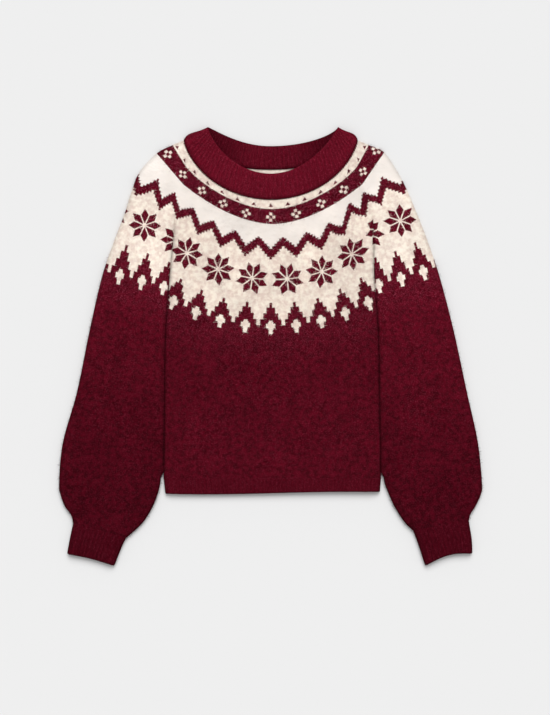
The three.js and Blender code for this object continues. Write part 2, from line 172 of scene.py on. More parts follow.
# %% The body's rings
COLUMNS_OF_BODY = ("middle", "behind", "edge", "left", "right", "bow", "puff", "turn", "chart_row")
BODY_ROWS = [
    (220.0, 264.9, 292.6, -123.0, 123.0, 2.7, 0.0, 0.00, 0.0),
    (205.7, 250.0, 270.8, -126.8, 129.0, 2.1, 0.3, 0.00, 6.0),
    (183.6, 226.0, 243.0, -131.2, 137.2, 1.8, 0.6, 0.00, 16.0),
    (163.2, 203.0, 224.3, -137.2, 145.5, 1.9, 0.8, 0.00, 25.0),
    (132.5, 170.0, 195.8, -143.6, 153.0, 2.0, 1.0, 0.10, 39.0),
    (100.5, 135.0, 155.3, -147.0, 155.2, 2.1, 1.0, 0.35, 53.2),
    (65.6, 96.0, 113.3, -151.4, 155.5, 2.4, 0.9, 0.60, 69.0),
    (17.6, 44.0, 57.8, -155.9, 159.8, 2.0, 0.7, 0.85, 91.0),
    (-23.3, -8.0, 2.3, -159.0, 162.8, 2.0, 0.5, 1.00, 109.2),
    (-95.3, -85.0, -80.3, -159.8, 164.0, 2.0, 0.4, 1.00, 141.2),
    (-152.3, -148.0, -146.3, -160.5, 165.0, 2.0, 0.3, 1.00, 166.5),
    (-198.6, -198.6, -198.6, -161.0, 165.6, 2.0, 0.0, 1.00, 187.1),
]


def rows_at(table, columns, places):
    """The table's columns at these places between its rows, on smooth curves through them, as arrays."""
    values = np.array(table, float)
    index = np.clip(np.floor(places).astype(int), 0, len(values) - 2)
    share = (places - index)[:, None]
    before, start = values[np.maximum(index - 1, 0)], values[index]
    end, after = values[index + 1], values[np.minimum(index + 2, len(values) - 1)]
    square, cube = share ** 2, share ** 3
    blend = (2 * cube - 3 * square + 1) * start + (cube - 2 * square + share) * (end - before) / 2
    blend = blend + (3 * square - 2 * cube) * end + (cube - square) * (after - start) / 2
    return {name: blend[:, i:i + 1] for i, name in enumerate(columns)}


def smooth(share):
    """0 to 1 with a soft start and a soft end."""
    share = np.clip(share, 0, 1)
    return share * share * (3 - 2 * share)


def round_off(distance, width):
    """Share of its full height that a rolled edge has at a distance from where it ends."""
    return np.sqrt(1 - (1 - np.clip(distance / width, 0, 1)) ** 2)


def mix(start, end, share):
    """A value part of the way from one to another."""
    return start + (end - start) * share


def mesh_places(steps):
    """Places between the rows of a table, a number of steps from each row to the next."""
    return np.concatenate([[0.0]] + [i + np.arange(1, n + 1) / n for i, n in enumerate(steps)])


body_steps = (5, 7, 7, 10, 11, 12, 16, 14, 24, 19, 15)
body_places = mesh_places(body_steps)
body = rows_at(BODY_ROWS, COLUMNS_OF_BODY, body_places)
body["chart_row"] = np.interp(body_places, range(12), [row[-1] for row in BODY_ROWS])[:, None]
STAR_LINE_OF_BODY = sum(body_steps[:5])
FLOWER_LINE_OF_BODY = body_steps[0] + 4
print("rows of the body's mesh:", len(body_places))

# %% [markdown]
# Knitted cloth never lies dead level. Its main creases are listed one by one, as the jumper shows them: soft
# troughs and ridges, each with a middle, a direction, a length and a width, and similar ones on the sides
# that are hidden. A faint swell with no single direction lies under them all.

# %% Creases
CREASES_OF_BODY = [
    (-118, 88, 62, 120, 15, -1.0),
    (121, 80, 116, 130, 14, -1.1),
    (-96, -20, 74, 170, 20, 0.9),
    (104, -45, 102, 190, 22, 0.8),
    (-38, -120, 84, 150, 24, -0.8),
    (52, -150, 97, 120, 20, -0.9),
    (5, -60, 12, 190, 26, 0.6),
    (-134, -60, 86, 150, 10, -0.8),
    (140, -110, 94, 130, 10, -0.7),
]
CREASES_OF_SLEEVES = [
    (196, 112, 58, 90, 13, -1.1),
    (214, 20, 98, 150, 17, -0.9),
    (246, -82, 104, 130, 18, -1.0),
    (204, -150, 82, 110, 16, -0.9),
    (238, -226, 100, 70, 9, -1.5),
    (268, -236, 84, 62, 8, -1.5),
    (212, -238, 122, 54, 8, -1.3),
    (283, -246, 76, 44, 6, -1.1),
    (226, -252, 108, 40, 6, -1.1),
    (253, -250, 94, 44, 6, -1.2),
    (228, 92, 66, 80, 12, 0.7),
    (176, -40, 92, 150, 12, 0.7),
]


def crease_height(creases, x, y):
    """Height in mm that the soft creases add at these points."""
    height = 0.22 * np.sin(x / 31 + 1.3) * np.sin(y / 43 + 0.4) + 0.18 * np.sin((x + y) / 23) * np.sin((x - y) / 37)
    for middle_x, middle_y, angle, length, width, rise in creases:
        turn = math.radians(angle)
        along = (x - middle_x) * math.cos(turn) + (y - middle_y) * math.sin(turn)
        across = (y - middle_y) * math.cos(turn) - (x - middle_x) * math.sin(turn)
        height = height + rise * np.exp(-((2 * along / length) ** 4) - (across / width) ** 2)
    return height


print("creases:", len(CREASES_OF_BODY), "on the body,", len(CREASES_OF_SLEEVES), "on each sleeve")

# %% [markdown]
# The pattern is worked in bands of whole stitches, and each band repeats its motif a whole number of times.
# So every point of the cloth carries two counts, kept as a UV map named "stitches": how many stitches it is
# from the middle of the front, and how many rows below the neck seam. The motifs are then drawn in stitches,
# and follow the cloth wherever it curves. A face belongs to one band, and its corners count in that band.

# %% Counting stitches
BAND_STARTS = np.array([0, 6, 16, 25, 41, 69, 91, 1000.0])
FLOWER_BAND, ZIGZAG_BAND, STAR_BAND = 1, 3, 4
STAR_ROW = 53.2
LAST_ROW_OF_STARS = 68.3
ROW_HEIGHT = 2.23
INSIDE_BAND = 0.01
STITCHES_PER_REPEAT = (12, 16, 16, 16, 24, 16, 16)
STITCHES_LOST_ON_RIGHT = (1.8, 3.8, 0, 0, 0, 0, 0)
STITCH_WIDTHS = ((2.125, 2.125), (2.344, 2.344), (2.3, 2.3), (2.25, 2.467), (2.2, 2.2), (2.2, 2.45), (2.45, 2.33))
ZIGZAG_GAINED_ON_RIGHT = 4.3
MIDDLE_STAR_SHIFT = 1.6
STITCHES_LOST_BY_LAST_STAR = 4


def at_corners(grid):
    """A grid's values at the four corners of each of its faces."""
    return np.stack([grid[:-1, :-1], grid[1:, :-1], grid[1:, 1:], grid[:-1, 1:]], -1)


def stitch_corners(chart_rows, star_rows, count):
    """The two counts at the four corners of each face of a grid. count(band) gives the stitches of the grid."""
    rows = at_corners(chart_rows)
    bands = np.clip(np.searchsorted(BAND_STARTS, rows.mean(-1), side="right") - 1, 0, 6)
    stitches = np.zeros_like(rows)
    for band in range(7):
        stitches = np.where((bands == band)[..., None], at_corners(count(band)), stitches)
    in_stars = (bands == STAR_BAND)[..., None]
    rows = np.where(in_stars, np.minimum(at_corners(star_rows), LAST_ROW_OF_STARS), rows)
    starts, ends = BAND_STARTS[bands][..., None], BAND_STARTS[bands + 1][..., None]
    return np.stack([stitches, np.clip(rows, starts + INSIDE_BAND, ends - INSIDE_BAND)], -1)


def turned_corners(corners):
    """The corners' counts of a grid whose columns run the other way."""
    return corners[:, ::-1][:, :, [3, 2, 1, 0]]


def beside_line(x, y, line):
    """How far along a line of points each point lies, and how far below it. The line runs on past its ends."""
    start, end = line[0] + 3 * (line[0] - line[1]) * 8, line[-1] + 3 * (line[-1] - line[-2]) * 8
    line = np.concatenate([[start], line, [end]])
    steps = np.diff(line, axis=0)
    lengths = np.linalg.norm(steps, axis=1)
    before = np.concatenate([[0], np.cumsum(lengths)])[:-1] - lengths[0]
    from_start = np.stack([x, y], -1)[..., None, :] - line[:-1]
    share = np.clip((from_start * steps).sum(-1) / lengths ** 2, 0, 1)
    apart = from_start - share[..., None] * steps
    nearest = np.argmin((apart ** 2).sum(-1), -1)[..., None]
    above = steps[:, 0] * from_start[..., 1] - steps[:, 1] * from_start[..., 0]
    along = np.take_along_axis(before + share * lengths, nearest, -1)[..., 0]
    return along, -np.take_along_axis(above / lengths, nearest, -1)[..., 0]


def from_middle(outer):
    """How far each point of a body panel is from the middle along its row, less than 0 on the left."""
    steps = np.linalg.norm(np.diff(outer, axis=1), axis=-1)
    arc = np.concatenate([np.zeros((len(outer), 1)), np.cumsum(steps, 1)], 1)
    return arc - np.array([[np.interp(0, line[:, 0], length)] for line, length in zip(outer, arc)])


def stitches_from_middle(arc, chart_rows, band):
    """A length along a row as stitches, which are a little wider in lower rows and to the right."""
    widths = STITCH_WIDTHS[band]
    share = np.clip((chart_rows - BAND_STARTS[band]) / min(BAND_STARTS[band + 1] - BAND_STARTS[band], 60), 0, 1)
    eased = STITCHES_LOST_ON_RIGHT[band] * np.clip((arc - 20) / 130, 0, 1)
    if band == ZIGZAG_BAND:
        upper_rows = np.clip(1 - (chart_rows - BAND_STARTS[band]) / 14, 0, 1)
        eased = -ZIGZAG_GAINED_ON_RIGHT * smooth((arc - 125) / 25) * upper_rows
    return arc / mix(widths[0], widths[1], share) - eased


def body_counts(outer, chart_rows):
    """Stitch counts on a body panel, whose rows are measured from their middle."""
    arc = from_middle(outer)
    along_line = {}
    for band, place in ((FLOWER_BAND, FLOWER_LINE_OF_BODY), (STAR_BAND, STAR_LINE_OF_BODY)):
        line = outer[place, :, :2]
        along, below = beside_line(outer[..., 0], outer[..., 1], line)
        along_line[band] = along - np.interp(0, line[:, 0], beside_line(line[:, 0], line[:, 1], line)[0])
    star_arc = along_line[STAR_BAND]

    def count(band):
        if band == STAR_BAND:
            last_star = STITCHES_LOST_BY_LAST_STAR * smooth((star_arc - 138) / 18)
            return (star_arc + MIDDLE_STAR_SHIFT - last_star) / STITCH_WIDTHS[band][0]
        return stitches_from_middle(along_line.get(band, arc), chart_rows, band)

    # the stars climb a little towards the right join
    below = below + 5.5 * smooth((outer[..., 0] - 85) / 45) + 3.5 * smooth((outer[..., 0] - 135) / 20)
    return stitch_corners(chart_rows, STAR_ROW + below / ROW_HEIGHT, count)


print("bands of the yoke:", len(BAND_STARTS) - 1)

# %% [markdown]
# Every knitted piece is a closed wall between two grids of points, the side that shows and the side next to
# the wearer. Grids keep the mesh's rows along the rows of knitting, so pattern, ribs and creases follow the
# cloth. An open mesh of the outer side alone is kept for the fluff. Each point carries painted light and shade,
# 1 for the yarn's own colour: painted shade darkens the sleeves towards the cuffs and lies deepest in the
# grooves beside the seams, painted light brightens the sleeves near the shoulders, and the neckband is brighter.

# %% Walls from grids
def mesh_object(name, points, faces, corners, tone):
    """A smooth mesh in metres from points in mm, its corners counted in stitches, its points given painted light and
    shade.
    """
    mesh = bpy.data.meshes.new(name)
    mesh.from_pydata((np.asarray(points).reshape(-1, 3) * MM).tolist(), [], np.asarray(faces).tolist())
    mesh.uv_layers.new(name="stitches").data.foreach_set("uv", np.asarray(corners, np.float32).ravel())
    # each point's multiplier of painted light and shade on the yarn's colour
    mesh.attributes.new("tone", "FLOAT", "POINT").data.foreach_set("value", np.asarray(tone, np.float32).ravel())
    mesh.polygons.foreach_set("use_smooth", np.ones(len(mesh.polygons), bool))
    return add_to_scene(name, mesh)


def grid_faces(index):
    """Four-cornered faces between neighbours of a grid of point numbers, facing the viewer."""
    return at_corners(index).reshape(-1, 4)


def cloth_wall(name, outer, inner, corners, tone):
    """A closed wall between two grids of points, row by row, and an open skin of its outer side."""
    rows, columns = outer.shape[:2]
    out = np.arange(rows * columns).reshape(rows, columns)
    back = out + rows * columns
    flat = corners.reshape(-1, 4, 2)
    faces = [grid_faces(out), grid_faces(back)[:, ::-1]]
    counts = [flat, flat[:, ::-1]]
    edges = (
        (out[0], back[0], corners[0][:, [0, 3]], True),
        (out[-1], back[-1], corners[-1][:, [1, 2]], False),
        (out[:, 0], back[:, 0], corners[:, 0][:, [0, 1]], False),
        (out[:, -1], back[:, -1], corners[:, -1][:, [3, 2]], True),
    )
    for near, far, ends, is_turned in edges:
        strip = np.stack([near[:-1], far[:-1], far[1:], near[1:]], -1)
        count = np.stack([ends[:, 0], ends[:, 0], ends[:, 1], ends[:, 1]], 1)
        faces.append(strip[:, ::-1] if is_turned else strip)
        counts.append(count[:, ::-1] if is_turned else count)
    points = np.concatenate([outer.reshape(-1, 3), inner.reshape(-1, 3)])
    wall = mesh_object(name, points, np.concatenate(faces), np.concatenate(counts), np.stack([tone, tone]))
    skin = mesh_object(name + "_skin", outer, grid_faces(out), flat, tone)
    print(name, "has", len(wall.data.polygons), "faces")
    return wall, skin


def stations(length, start_width, end_width, start_steps, middle_steps, end_steps):
    """Distances along lines of these lengths, close together where the cloth rolls over at both ends."""
    opening, closing = (1 - np.cos(np.linspace(0, math.pi / 2, steps + 1)) for steps in (start_steps, end_steps))
    middle = np.linspace(0, 1, middle_steps + 1)[None, 1:-1]
    start, end = start_width * opening[None, :], length - end_width * closing[None, ::-1]
    return np.concatenate([start + 0 * length, mix(start_width, length - end_width, middle), end + 0 * length], 1)


# %% [markdown]
# The neck seam joins the yoke to the neckband, half an ellipse in front and a shallower one behind. The
# first rings of the yoke are eased on to it, and their edge is tucked just under the band, as a seam is.

# %% Neck seam
NECK_SEAM = {
    "half_widths": (135, 135), "reach": 76.2, "front": (338.4, 118.0, (1, 1)), "back": (324.2, 58.7, (1, 1)),
}
NECK_EDGE = {
    "half_widths": (94.1, 100.9), "reach": 90.0,
    "front": (329.8, 70.3, (1.42, 1.75)), "back": (329.8, 28.5, (2.2, 1.4)),
}
TUCK_UNDER_BAND = 1.2
SEAM_CLEARANCE = 0.25


def ease_to_neck(layer, x, y, places):
    """How far points of the yoke move in Y so that its first row lies along the neck seam."""
    centre, depth, _ = NECK_SEAM[layer]
    across = np.clip(x / (NECK_SEAM["half_widths"][0] + SEAM_CLEARANCE), -1, 1)
    drop = (depth + SEAM_CLEARANCE - TUCK_UNDER_BAND) * np.sqrt(1 - across ** 2)
    return (centre - drop - y) * smooth(1 - places / 2)


def neck_line(line, layer, share, clearance=0.0):
    """X and Y of a line round the neck, at a share of the way from the left fold to the right one."""
    turn = np.radians((2 * share - 1) * line["reach"])
    centre, depth, fullness = line[layer]
    half_width = np.where(turn < 0, *line["half_widths"])
    x = (half_width - clearance) * np.sin(turn)
    return x, centre - (depth - clearance) * np.maximum(np.cos(turn), 0) ** np.where(turn < 0, *fullness)


print("neck seam from", [round(float(v), 1) for v in neck_line(NECK_SEAM, "front", 0.0)])

# %% [markdown]
# The front is the panel that shows most. It lies level with the sleeves in the yoke, where one cloth runs
# round the shoulders, and below the yoke its sides roll down to the side seams. The back is the same panel
# with a higher neck, flat on the surface, and its edges roll up to meet the front.

# %% Front and back
KNIT_THICKNESS = 2.4
BACK_THICKNESS = 2.2
SEAM_HEIGHT = 7.4
SIDE_SEAM_HEIGHT = 3.1
FRONT_ROLL, BACK_ROLL = 13.0, 8.0
SHARE_OF_INSET = 0.8
TUCK_DEPTH = 1.4
GROOVE_SHADE_STRENGTH, GROOVE_WIDTH = 0.45, 2.6
ZIGZAG_LIFT = ((16.5, 20.3, 35.8, 44), (0, 4.7, 3.9, 0))
SPIRE_ROWS = ((50, 69, 84), (0, 1, 0))
places = body_places[:, None]
half = (body["right"] - body["left"]) / 2
centre = (body["right"] + body["left"]) / 2
turn = np.clip(body["turn"], 0, 1)


def body_grid(layer, middle_key, across):
    """X and Y of the front's or the back's points."""
    x = centre + across * half
    _, _, seam_edge, _, seam_right, seam_bow, *_ = BODY_ROWS[0]
    seam_middle = BODY_ROWS[0][COLUMNS_OF_BODY.index(middle_key)]
    eased = ease_to_neck(layer, across * seam_right, mix(seam_middle, seam_edge, np.abs(across) ** seam_bow), places)
    return x, mix(body[middle_key], body["edge"], np.abs(across) ** body["bow"]) + eased


def panel_stations(roll, roll_steps, middle_steps):
    """Distances across a body panel: from its left, as shares from -1 to 1, and from its nearer edge."""
    from_left = stations(2 * half, roll, roll, roll_steps, middle_steps, roll_steps)
    return from_left / half - 1, np.minimum(from_left, 2 * half - from_left)


def groove_painted_shade(from_seam, turn_here):
    """How much painted shade darkens the cloth in the groove beside a sleeve's join."""
    return GROOVE_SHADE_STRENGTH * smooth(turn_here / 0.4) * np.exp(-((from_seam / GROOVE_WIDTH) ** 2))


across, from_edge = panel_stations(FRONT_ROLL, 6, 96)
front_x, front_y = body_grid("front", "middle", across)
rolled = turn * (1 - round_off(from_edge, FRONT_ROLL))
in_panel = smooth(places / 1.5) * smooth((11 - places) / 1.2)
softness = smooth(from_edge / 30) * in_panel
raised = body["puff"] * smooth(from_edge / 60) + softness * crease_height(CREASES_OF_BODY, front_x, front_y)
top = SEAM_HEIGHT + raised - TUCK_DEPTH * smooth(1 - places / 0.25)
front_outer = np.stack([front_x, front_y, mix(top, SIDE_SEAM_HEIGHT + 0.6, rolled)], -1)
inset_x = centre + across * (half - KNIT_THICKNESS * turn * SHARE_OF_INSET)
front_inner = np.stack([inset_x, front_y, mix(top - KNIT_THICKNESS, SIDE_SEAM_HEIGHT, rolled)], -1)
front_rows = body["chart_row"] + smooth((front_x - 98) / 22) * np.interp(body["chart_row"], *ZIGZAG_LIFT)
front_rows = front_rows + 1.5 * smooth((front_x - 60) / 60) * np.interp(body["chart_row"], *SPIRE_ROWS)
front_corners = body_counts(front_outer, front_rows)
front_arcs = from_middle(front_outer)
JOIN_ARCS = {-1: -front_arcs[:, 0], 1: front_arcs[:, -1]}
flower_arcs, flower_rows = front_arcs[FLOWER_LINE_OF_BODY], front_rows[FLOWER_LINE_OF_BODY]
front_flower_stitches = stitches_from_middle(flower_arcs, flower_rows, FLOWER_BAND)
# the front is painted darker in the groove beside each sleeve
front, front_skin = cloth_wall("front_knit", front_outer, front_inner, front_corners, 1 - groove_painted_shade(from_edge, turn))

# %% The back's grid
across, from_edge = panel_stations(BACK_ROLL, 4, 72)
back_x, back_y = body_grid("back", "behind", across)
rolled = turn * (1 - round_off(from_edge, BACK_ROLL))
ripple = 0.35 * smooth(from_edge / 30) * in_panel * (1 + np.sin(back_x / 29 + back_y / 61))
underside = mix(ripple, SIDE_SEAM_HEIGHT - 0.3, rolled)
inside = mix(np.maximum(ripple, 0) + BACK_THICKNESS, SIDE_SEAM_HEIGHT + 0.2, rolled)
back_outer, back_inner = (np.stack([back_x, back_y, z], -1) for z in (underside, inside))
back_corners = turned_corners(body_counts(back_outer, body["chart_row"] + 0 * back_x))
back_outer, back_inner = back_outer[:, ::-1], back_inner[:, ::-1]
back, back_skin = cloth_wall("back_knit", back_outer, back_inner, back_corners, 1 + 0 * back_x)

# %% [markdown]
# A sleeve is one piece folded along its outer edge. It could be a tube, but a flat sleeve shows a sharp inner
# edge where its seam lies and a soft fold outside, so it is a wall that starts at the inner edge on top, goes
# round the outer fold and comes back below. In the yoke its first edge runs on from the front. Its rings are
# its own below the zigzag, because the sleeve's pattern lies a little higher than the body's there.

# %% The sleeves' rings
COLUMNS_OF_SLEEVE = ("in_x", "in_y", "out_x", "out_y", "height", "chart_in", "chart_out", "turn")
LEFT_RINGS = [
    (292.6, 131.0, 310.0, 8.8, 0, 0),
    (270.8, 147.0, 303.0, 8.6, 6, 6),
    (243.0, 171.5, 290.0, 8.6, 16, 16),
    (224.3, 197.5, 261.5, 8.9, 25, 25),
    (195.8, 208.5, 234.0, 9.3, 39, 39),
    (162.8, 220.3, 197.0, 9.6, 53.2, 53.2),
    (126.0, 234.6, 159.8, 9.8, 69, 69),
    (77.3, 253.6, 104.3, 9.8, 91, 91),
    (2.3, 272.3, 23.0, 9.8, 124, 127),
    (-80.3, 291.0, -68.0, 9.8, 161, 167.5),
    (-146.3, 312.0, -143.0, 9.8, 190, 201),
    (-198.6, 318.0, -204.0, 9.8, 213, 228),
]
RIGHT_OUT = [131.0, 147.0, 170.5, 191.0, 205.0, 220.5, 235.0, 253.8, 275.0, 294.6, 311.0, 317.3]
LEFT_BELOW = [
    (168.4, -217.0, 315.6, -223.0, 9.8, 222, 236, 1),
    (177.5, -241.0, 309.0, -240.5, 9.8, 231, 244, 1),
    (193.0, -265.5, 300.0, -253.0, 9.5, 242, 250, 1),
    (216.5, -287.2, 296.8, -266.0, 8.8, 252, 256, 1),
]
RIGHT_BELOW = [
    (175.0, -216.0, 316.0, -221.0, 9.8, 221, 235, 1),
    (185.6, -240.0, 308.0, -239.0, 9.8, 231, 243, 1),
    (200.5, -263.5, 300.0, -252.0, 9.5, 241, 249, 1),
    (213.2, -276.0, 297.4, -263.0, 8.8, 247, 254, 1),
]
REPEATS_AT_JOIN = {
    STAR_BAND: {-1: 3.612, 1: 3.612},
    FLOWER_BAND: {
        side: float(np.abs(front_flower_stitches[edge])) / STITCHES_PER_REPEAT[FLOWER_BAND]
        for side, edge in ((-1, 0), (1, -1))
    },
}
print("flowers from the middle to the joins:", REPEATS_AT_JOIN[FLOWER_BAND])
FOLD_REPEATS = {
    -1: ((7.25, 7.25), (5.2, 5.2), (5.2, 5.5), (6.45, 6.1), (5.09, 5.09), (7.6, 7.8), (7.6, 8.6)),
    1: ((7.25, 7.25), (5.09, 5.09), (5.2, 5.5), (6.1, 6.1), (5.09, 5.09), (7.6, 7.62), (7.6, 8.6)),
}
JOIN_REPEATS_BELOW_STARS = {-1: ((4.93, 4.72), (4.6, 4.6)), 1: ((4.93, 4.8), (4.6, 4.6))}
ARCH_OF_ZIGZAG = ((16, 22.5, 41.7, 47), (0, 2.5, -1.4, 0))
TREE_ROWS_ON_SLEEVE = {-1: (89.6, 88.4), 1: (91, 91)}
STAR_SHIFT_ON_SLEEVE = {-1: 0.9, 1: -4.5}
# painted light and shade along each sleeve by Y: lighter near the shoulder, darker towards the cuff
PAINTED_SHADING_DOWN_SLEEVES = {
    -1: ((-300, 0.68), (-200, 0.74), (-90, 0.82), (60, 1.10), (110, 1.05), (300, 1.0)),
    1: ((-300, 0.70), (-200, 0.77), (-90, 0.93), (60, 1.20), (110, 1.08), (300, 1.0)),
}
sleeve_steps = (7, 9, 9, 9, 12, 12, 16, 25, 28, 22, 18, 7, 8, 8, 8)
FLOWER_LINE_OF_SLEEVE = sleeve_steps[0] + 5
STAR_LINE_OF_SLEEVE = sum(sleeve_steps[:5])
sleeve_places = mesh_places(sleeve_steps)
SHOULDER_RING, TREE_RING, LAST_JOINED_RING = 2, 7, 11
RIGHT_SHOULDER_RISE, OPENING_AT_LAST_RING = 1.5, 4.2
JOIN_KEYS = {-1: "left", 1: "right"}
dense = rows_at(BODY_ROWS, COLUMNS_OF_BODY, np.linspace(0, 11, 400))


def along_join(key, y):
    """A column of the body's table, read along the join by its Y."""
    return np.interp(-np.asarray(y), -dense["edge"][:, 0], dense[key][:, 0])


def sleeve_table(side):
    """The rings of one sleeve from the neck seam to its cuff, X counted outwards."""
    rows = []
    for index, (in_y, out_x, out_y, height, chart_in, chart_out) in enumerate(LEFT_RINGS):
        in_x = abs(float(along_join(JOIN_KEYS[side], in_y)))
        if side > 0:
            out_x, out_y = RIGHT_OUT[index], out_y + (RIGHT_SHOULDER_RISE if index == SHOULDER_RING else 0)
        if index == TREE_RING:
            chart_in, chart_out = TREE_ROWS_ON_SLEEVE[side]
        if index == LAST_JOINED_RING:
            in_x = in_x + OPENING_AT_LAST_RING
        turn_here = min(1.0, max(0.0, float(along_join("turn", in_y))))
        rows.append((in_x, in_y, out_x, out_y, height, chart_in, chart_out, turn_here))
    return rows + (LEFT_BELOW if side < 0 else RIGHT_BELOW)


print("rows of a sleeve's mesh:", len(sleeve_places))

# %% A sleeve's two layers
SLEEVE_ROLL, FOLD_ON_TOP, FOLD_BELOW = 24.0, 26.0, 6.0
GAP_AT_SEAM = 0.1
OPENING_AT_HEM, OPENING_STARTS = 5, -186
LAP_OVER_BODY = 0.8


def sleeve_rings(side):
    """The rings of a sleeve's mesh, with how far each runs from its seam to its fold."""
    rings = rows_at(sleeve_table(side), COLUMNS_OF_SLEEVE, sleeve_places)
    seam_y = rings["in_y"]
    joined = (sleeve_places[:, None] <= LAST_JOINED_RING).astype(float)
    rings["turn"] = np.clip(mix(rings["turn"], along_join("turn", seam_y), joined), 0, 1)
    join_x = mix(rings["in_x"], np.abs(along_join(JOIN_KEYS[side], seam_y)), joined)
    # the sleeve laps a little over the body's rolled edge, and stands off just above the hem, where they part
    apart = OPENING_AT_HEM * smooth((OPENING_STARTS - seam_y) / 12.6) - LAP_OVER_BODY * rings["turn"]
    rings["in_x"] = join_x + apart * joined
    rings["run_x"], rings["run_y"] = rings["out_x"] - rings["in_x"], rings["out_y"] - rings["in_y"]
    rings["length"] = np.hypot(rings["run_x"], rings["run_y"])
    return rings


def sleeve_layer(rings, layer, place, roll, fold):
    """One layer of a sleeve: X, Y, Z of its skin and of its lining, and the share of the way to the fold."""
    length, height, turn_here = rings["length"], rings["height"], rings["turn"]
    from_neck = sleeve_places[:, None]
    share = place / length
    x, y = rings["in_x"] + rings["run_x"] * share, rings["in_y"] + rings["run_y"] * share
    y = y + ease_to_neck(layer, mix(123.0, 131.0, share), mix(292.6, 310.0, share), from_neck)
    inset = place + KNIT_THICKNESS * (SHARE_OF_INSET * turn_here * (1 - share) - share)
    inner_x = rings["in_x"] + rings["run_x"] * inset / length
    inner_y = y + rings["run_y"] * (inset - place) / length
    soft = smooth(np.minimum(place, length - place) / 24)
    if layer == "front":
        levelled = (1 - turn_here) * (1 - smooth(place / 40))
        creases = soft * smooth(from_neck / 1.5) * crease_height(CREASES_OF_SLEEVES, x, y)
        skin_z = mix(height, SEAM_HEIGHT, levelled) + creases - TUCK_DEPTH * smooth(1 - from_neck / 0.25)
        lining_z, seam_z = skin_z - KNIT_THICKNESS, height / 2 + GAP_AT_SEAM
    else:
        skin_z = 0.3 * soft * (1 + np.sin(x / 27 - y / 47))
        lining_z, seam_z = skin_z + KNIT_THICKNESS, height / 2 - GAP_AT_SEAM
    rolled, folded = turn_here * (1 - round_off(place, roll)), 1 - round_off(length - place, fold)
    skin_z, lining_z = (mix(mix(z, seam_z, rolled), height / 2, folded) for z in (skin_z, lining_z))
    return x, y, skin_z, inner_x, inner_y, lining_z, share


print("length of the left sleeve's rings, mm:", [round(float(v)) for v in sleeve_rings(-1)["length"][::60, 0]])

# %% [markdown]
# The sleeve's pattern has to meet the body's at the join and come out whole at the outer fold. So the repeats
# are counted at both, and shared out between them. Flowers and stars keep their true width instead, and are
# measured along a line that they stand on.

# %% Counting stitches on a sleeve
SPIRES_LONGER_AT_JOIN, RIGHT_STARS_LOWER, ZIGZAG_BULGE = 2.3, 4.5, 0.24


def sleeve_counts(side, rings, x, y, share, columns_on_top):
    """The two stitch counts at the corners of a sleeve's faces."""
    chart_rows = mix(rings["chart_in"], rings["chart_out"], share)
    if side < 0:
        lift = 4 * share * (1 - share) * np.interp(chart_rows, *ARCH_OF_ZIGZAG)
    else:
        spires = (1 + SPIRES_LONGER_AT_JOIN * (1 - share) ** 2) * np.interp(chart_rows, *SPIRE_ROWS)
        lift = (1 - share ** 2) * np.interp(chart_rows, *ZIGZAG_LIFT) + spires
    chart_rows = chart_rows + lift
    past_fold = np.arange(x.shape[1])[None, :] >= columns_on_top
    around = np.where(past_fold, 2 - share, share)
    along_line = {}
    for band, place in ((FLOWER_BAND, FLOWER_LINE_OF_SLEEVE), (STAR_BAND, STAR_LINE_OF_SLEEVE)):
        line_length = rings["length"][place, 0]
        along, below = beside_line(x, y, np.stack([x[place], y[place]], -1)[:columns_on_top])
        if band == STAR_BAND:
            along = mix(along, around * line_length, smooth((share - 0.6) / 0.4))
        along_line[band] = np.where(past_fold, 2 * line_length - along, along)
    below = below - STAR_SHIFT_ON_SLEEVE[side] + RIGHT_STARS_LOWER * (side > 0) * smooth(1 - share / 0.5)

    def count(band):
        per_repeat = STITCHES_PER_REPEAT[band]
        if band in along_line:
            return side * (REPEATS_AT_JOIN[band][side] * per_repeat + along_line[band] / STITCH_WIDTHS[band][0])
        down = np.clip((chart_rows - BAND_STARTS[band]) / min(BAND_STARTS[band + 1] - BAND_STARTS[band], 130), 0, 1)
        if band < STAR_BAND:
            join_arc = side * np.interp(chart_rows, body["chart_row"][:, 0], JOIN_ARCS[side])
            at_join = side * stitches_from_middle(join_arc, chart_rows, band) / per_repeat
        else:
            at_join = mix(*JOIN_REPEATS_BELOW_STARS[side][band - STAR_BAND - 1], down)
        repeats = mix(at_join, mix(*FOLD_REPEATS[side][band], down), around)
        if band == ZIGZAG_BAND:
            repeats = repeats + ZIGZAG_BULGE * down * np.clip(4 * around * (1 - around), 0, 1)
        return side * repeats * per_repeat

    return stitch_corners(chart_rows, STAR_ROW + below / ROW_HEIGHT, count)


# %% The two sleeves
# painted shade where the cloth rolls over at a fold, and how far it reaches
FOLD_SHADE, FOLD_SHADE_WIDTH = 0.25, 4.0


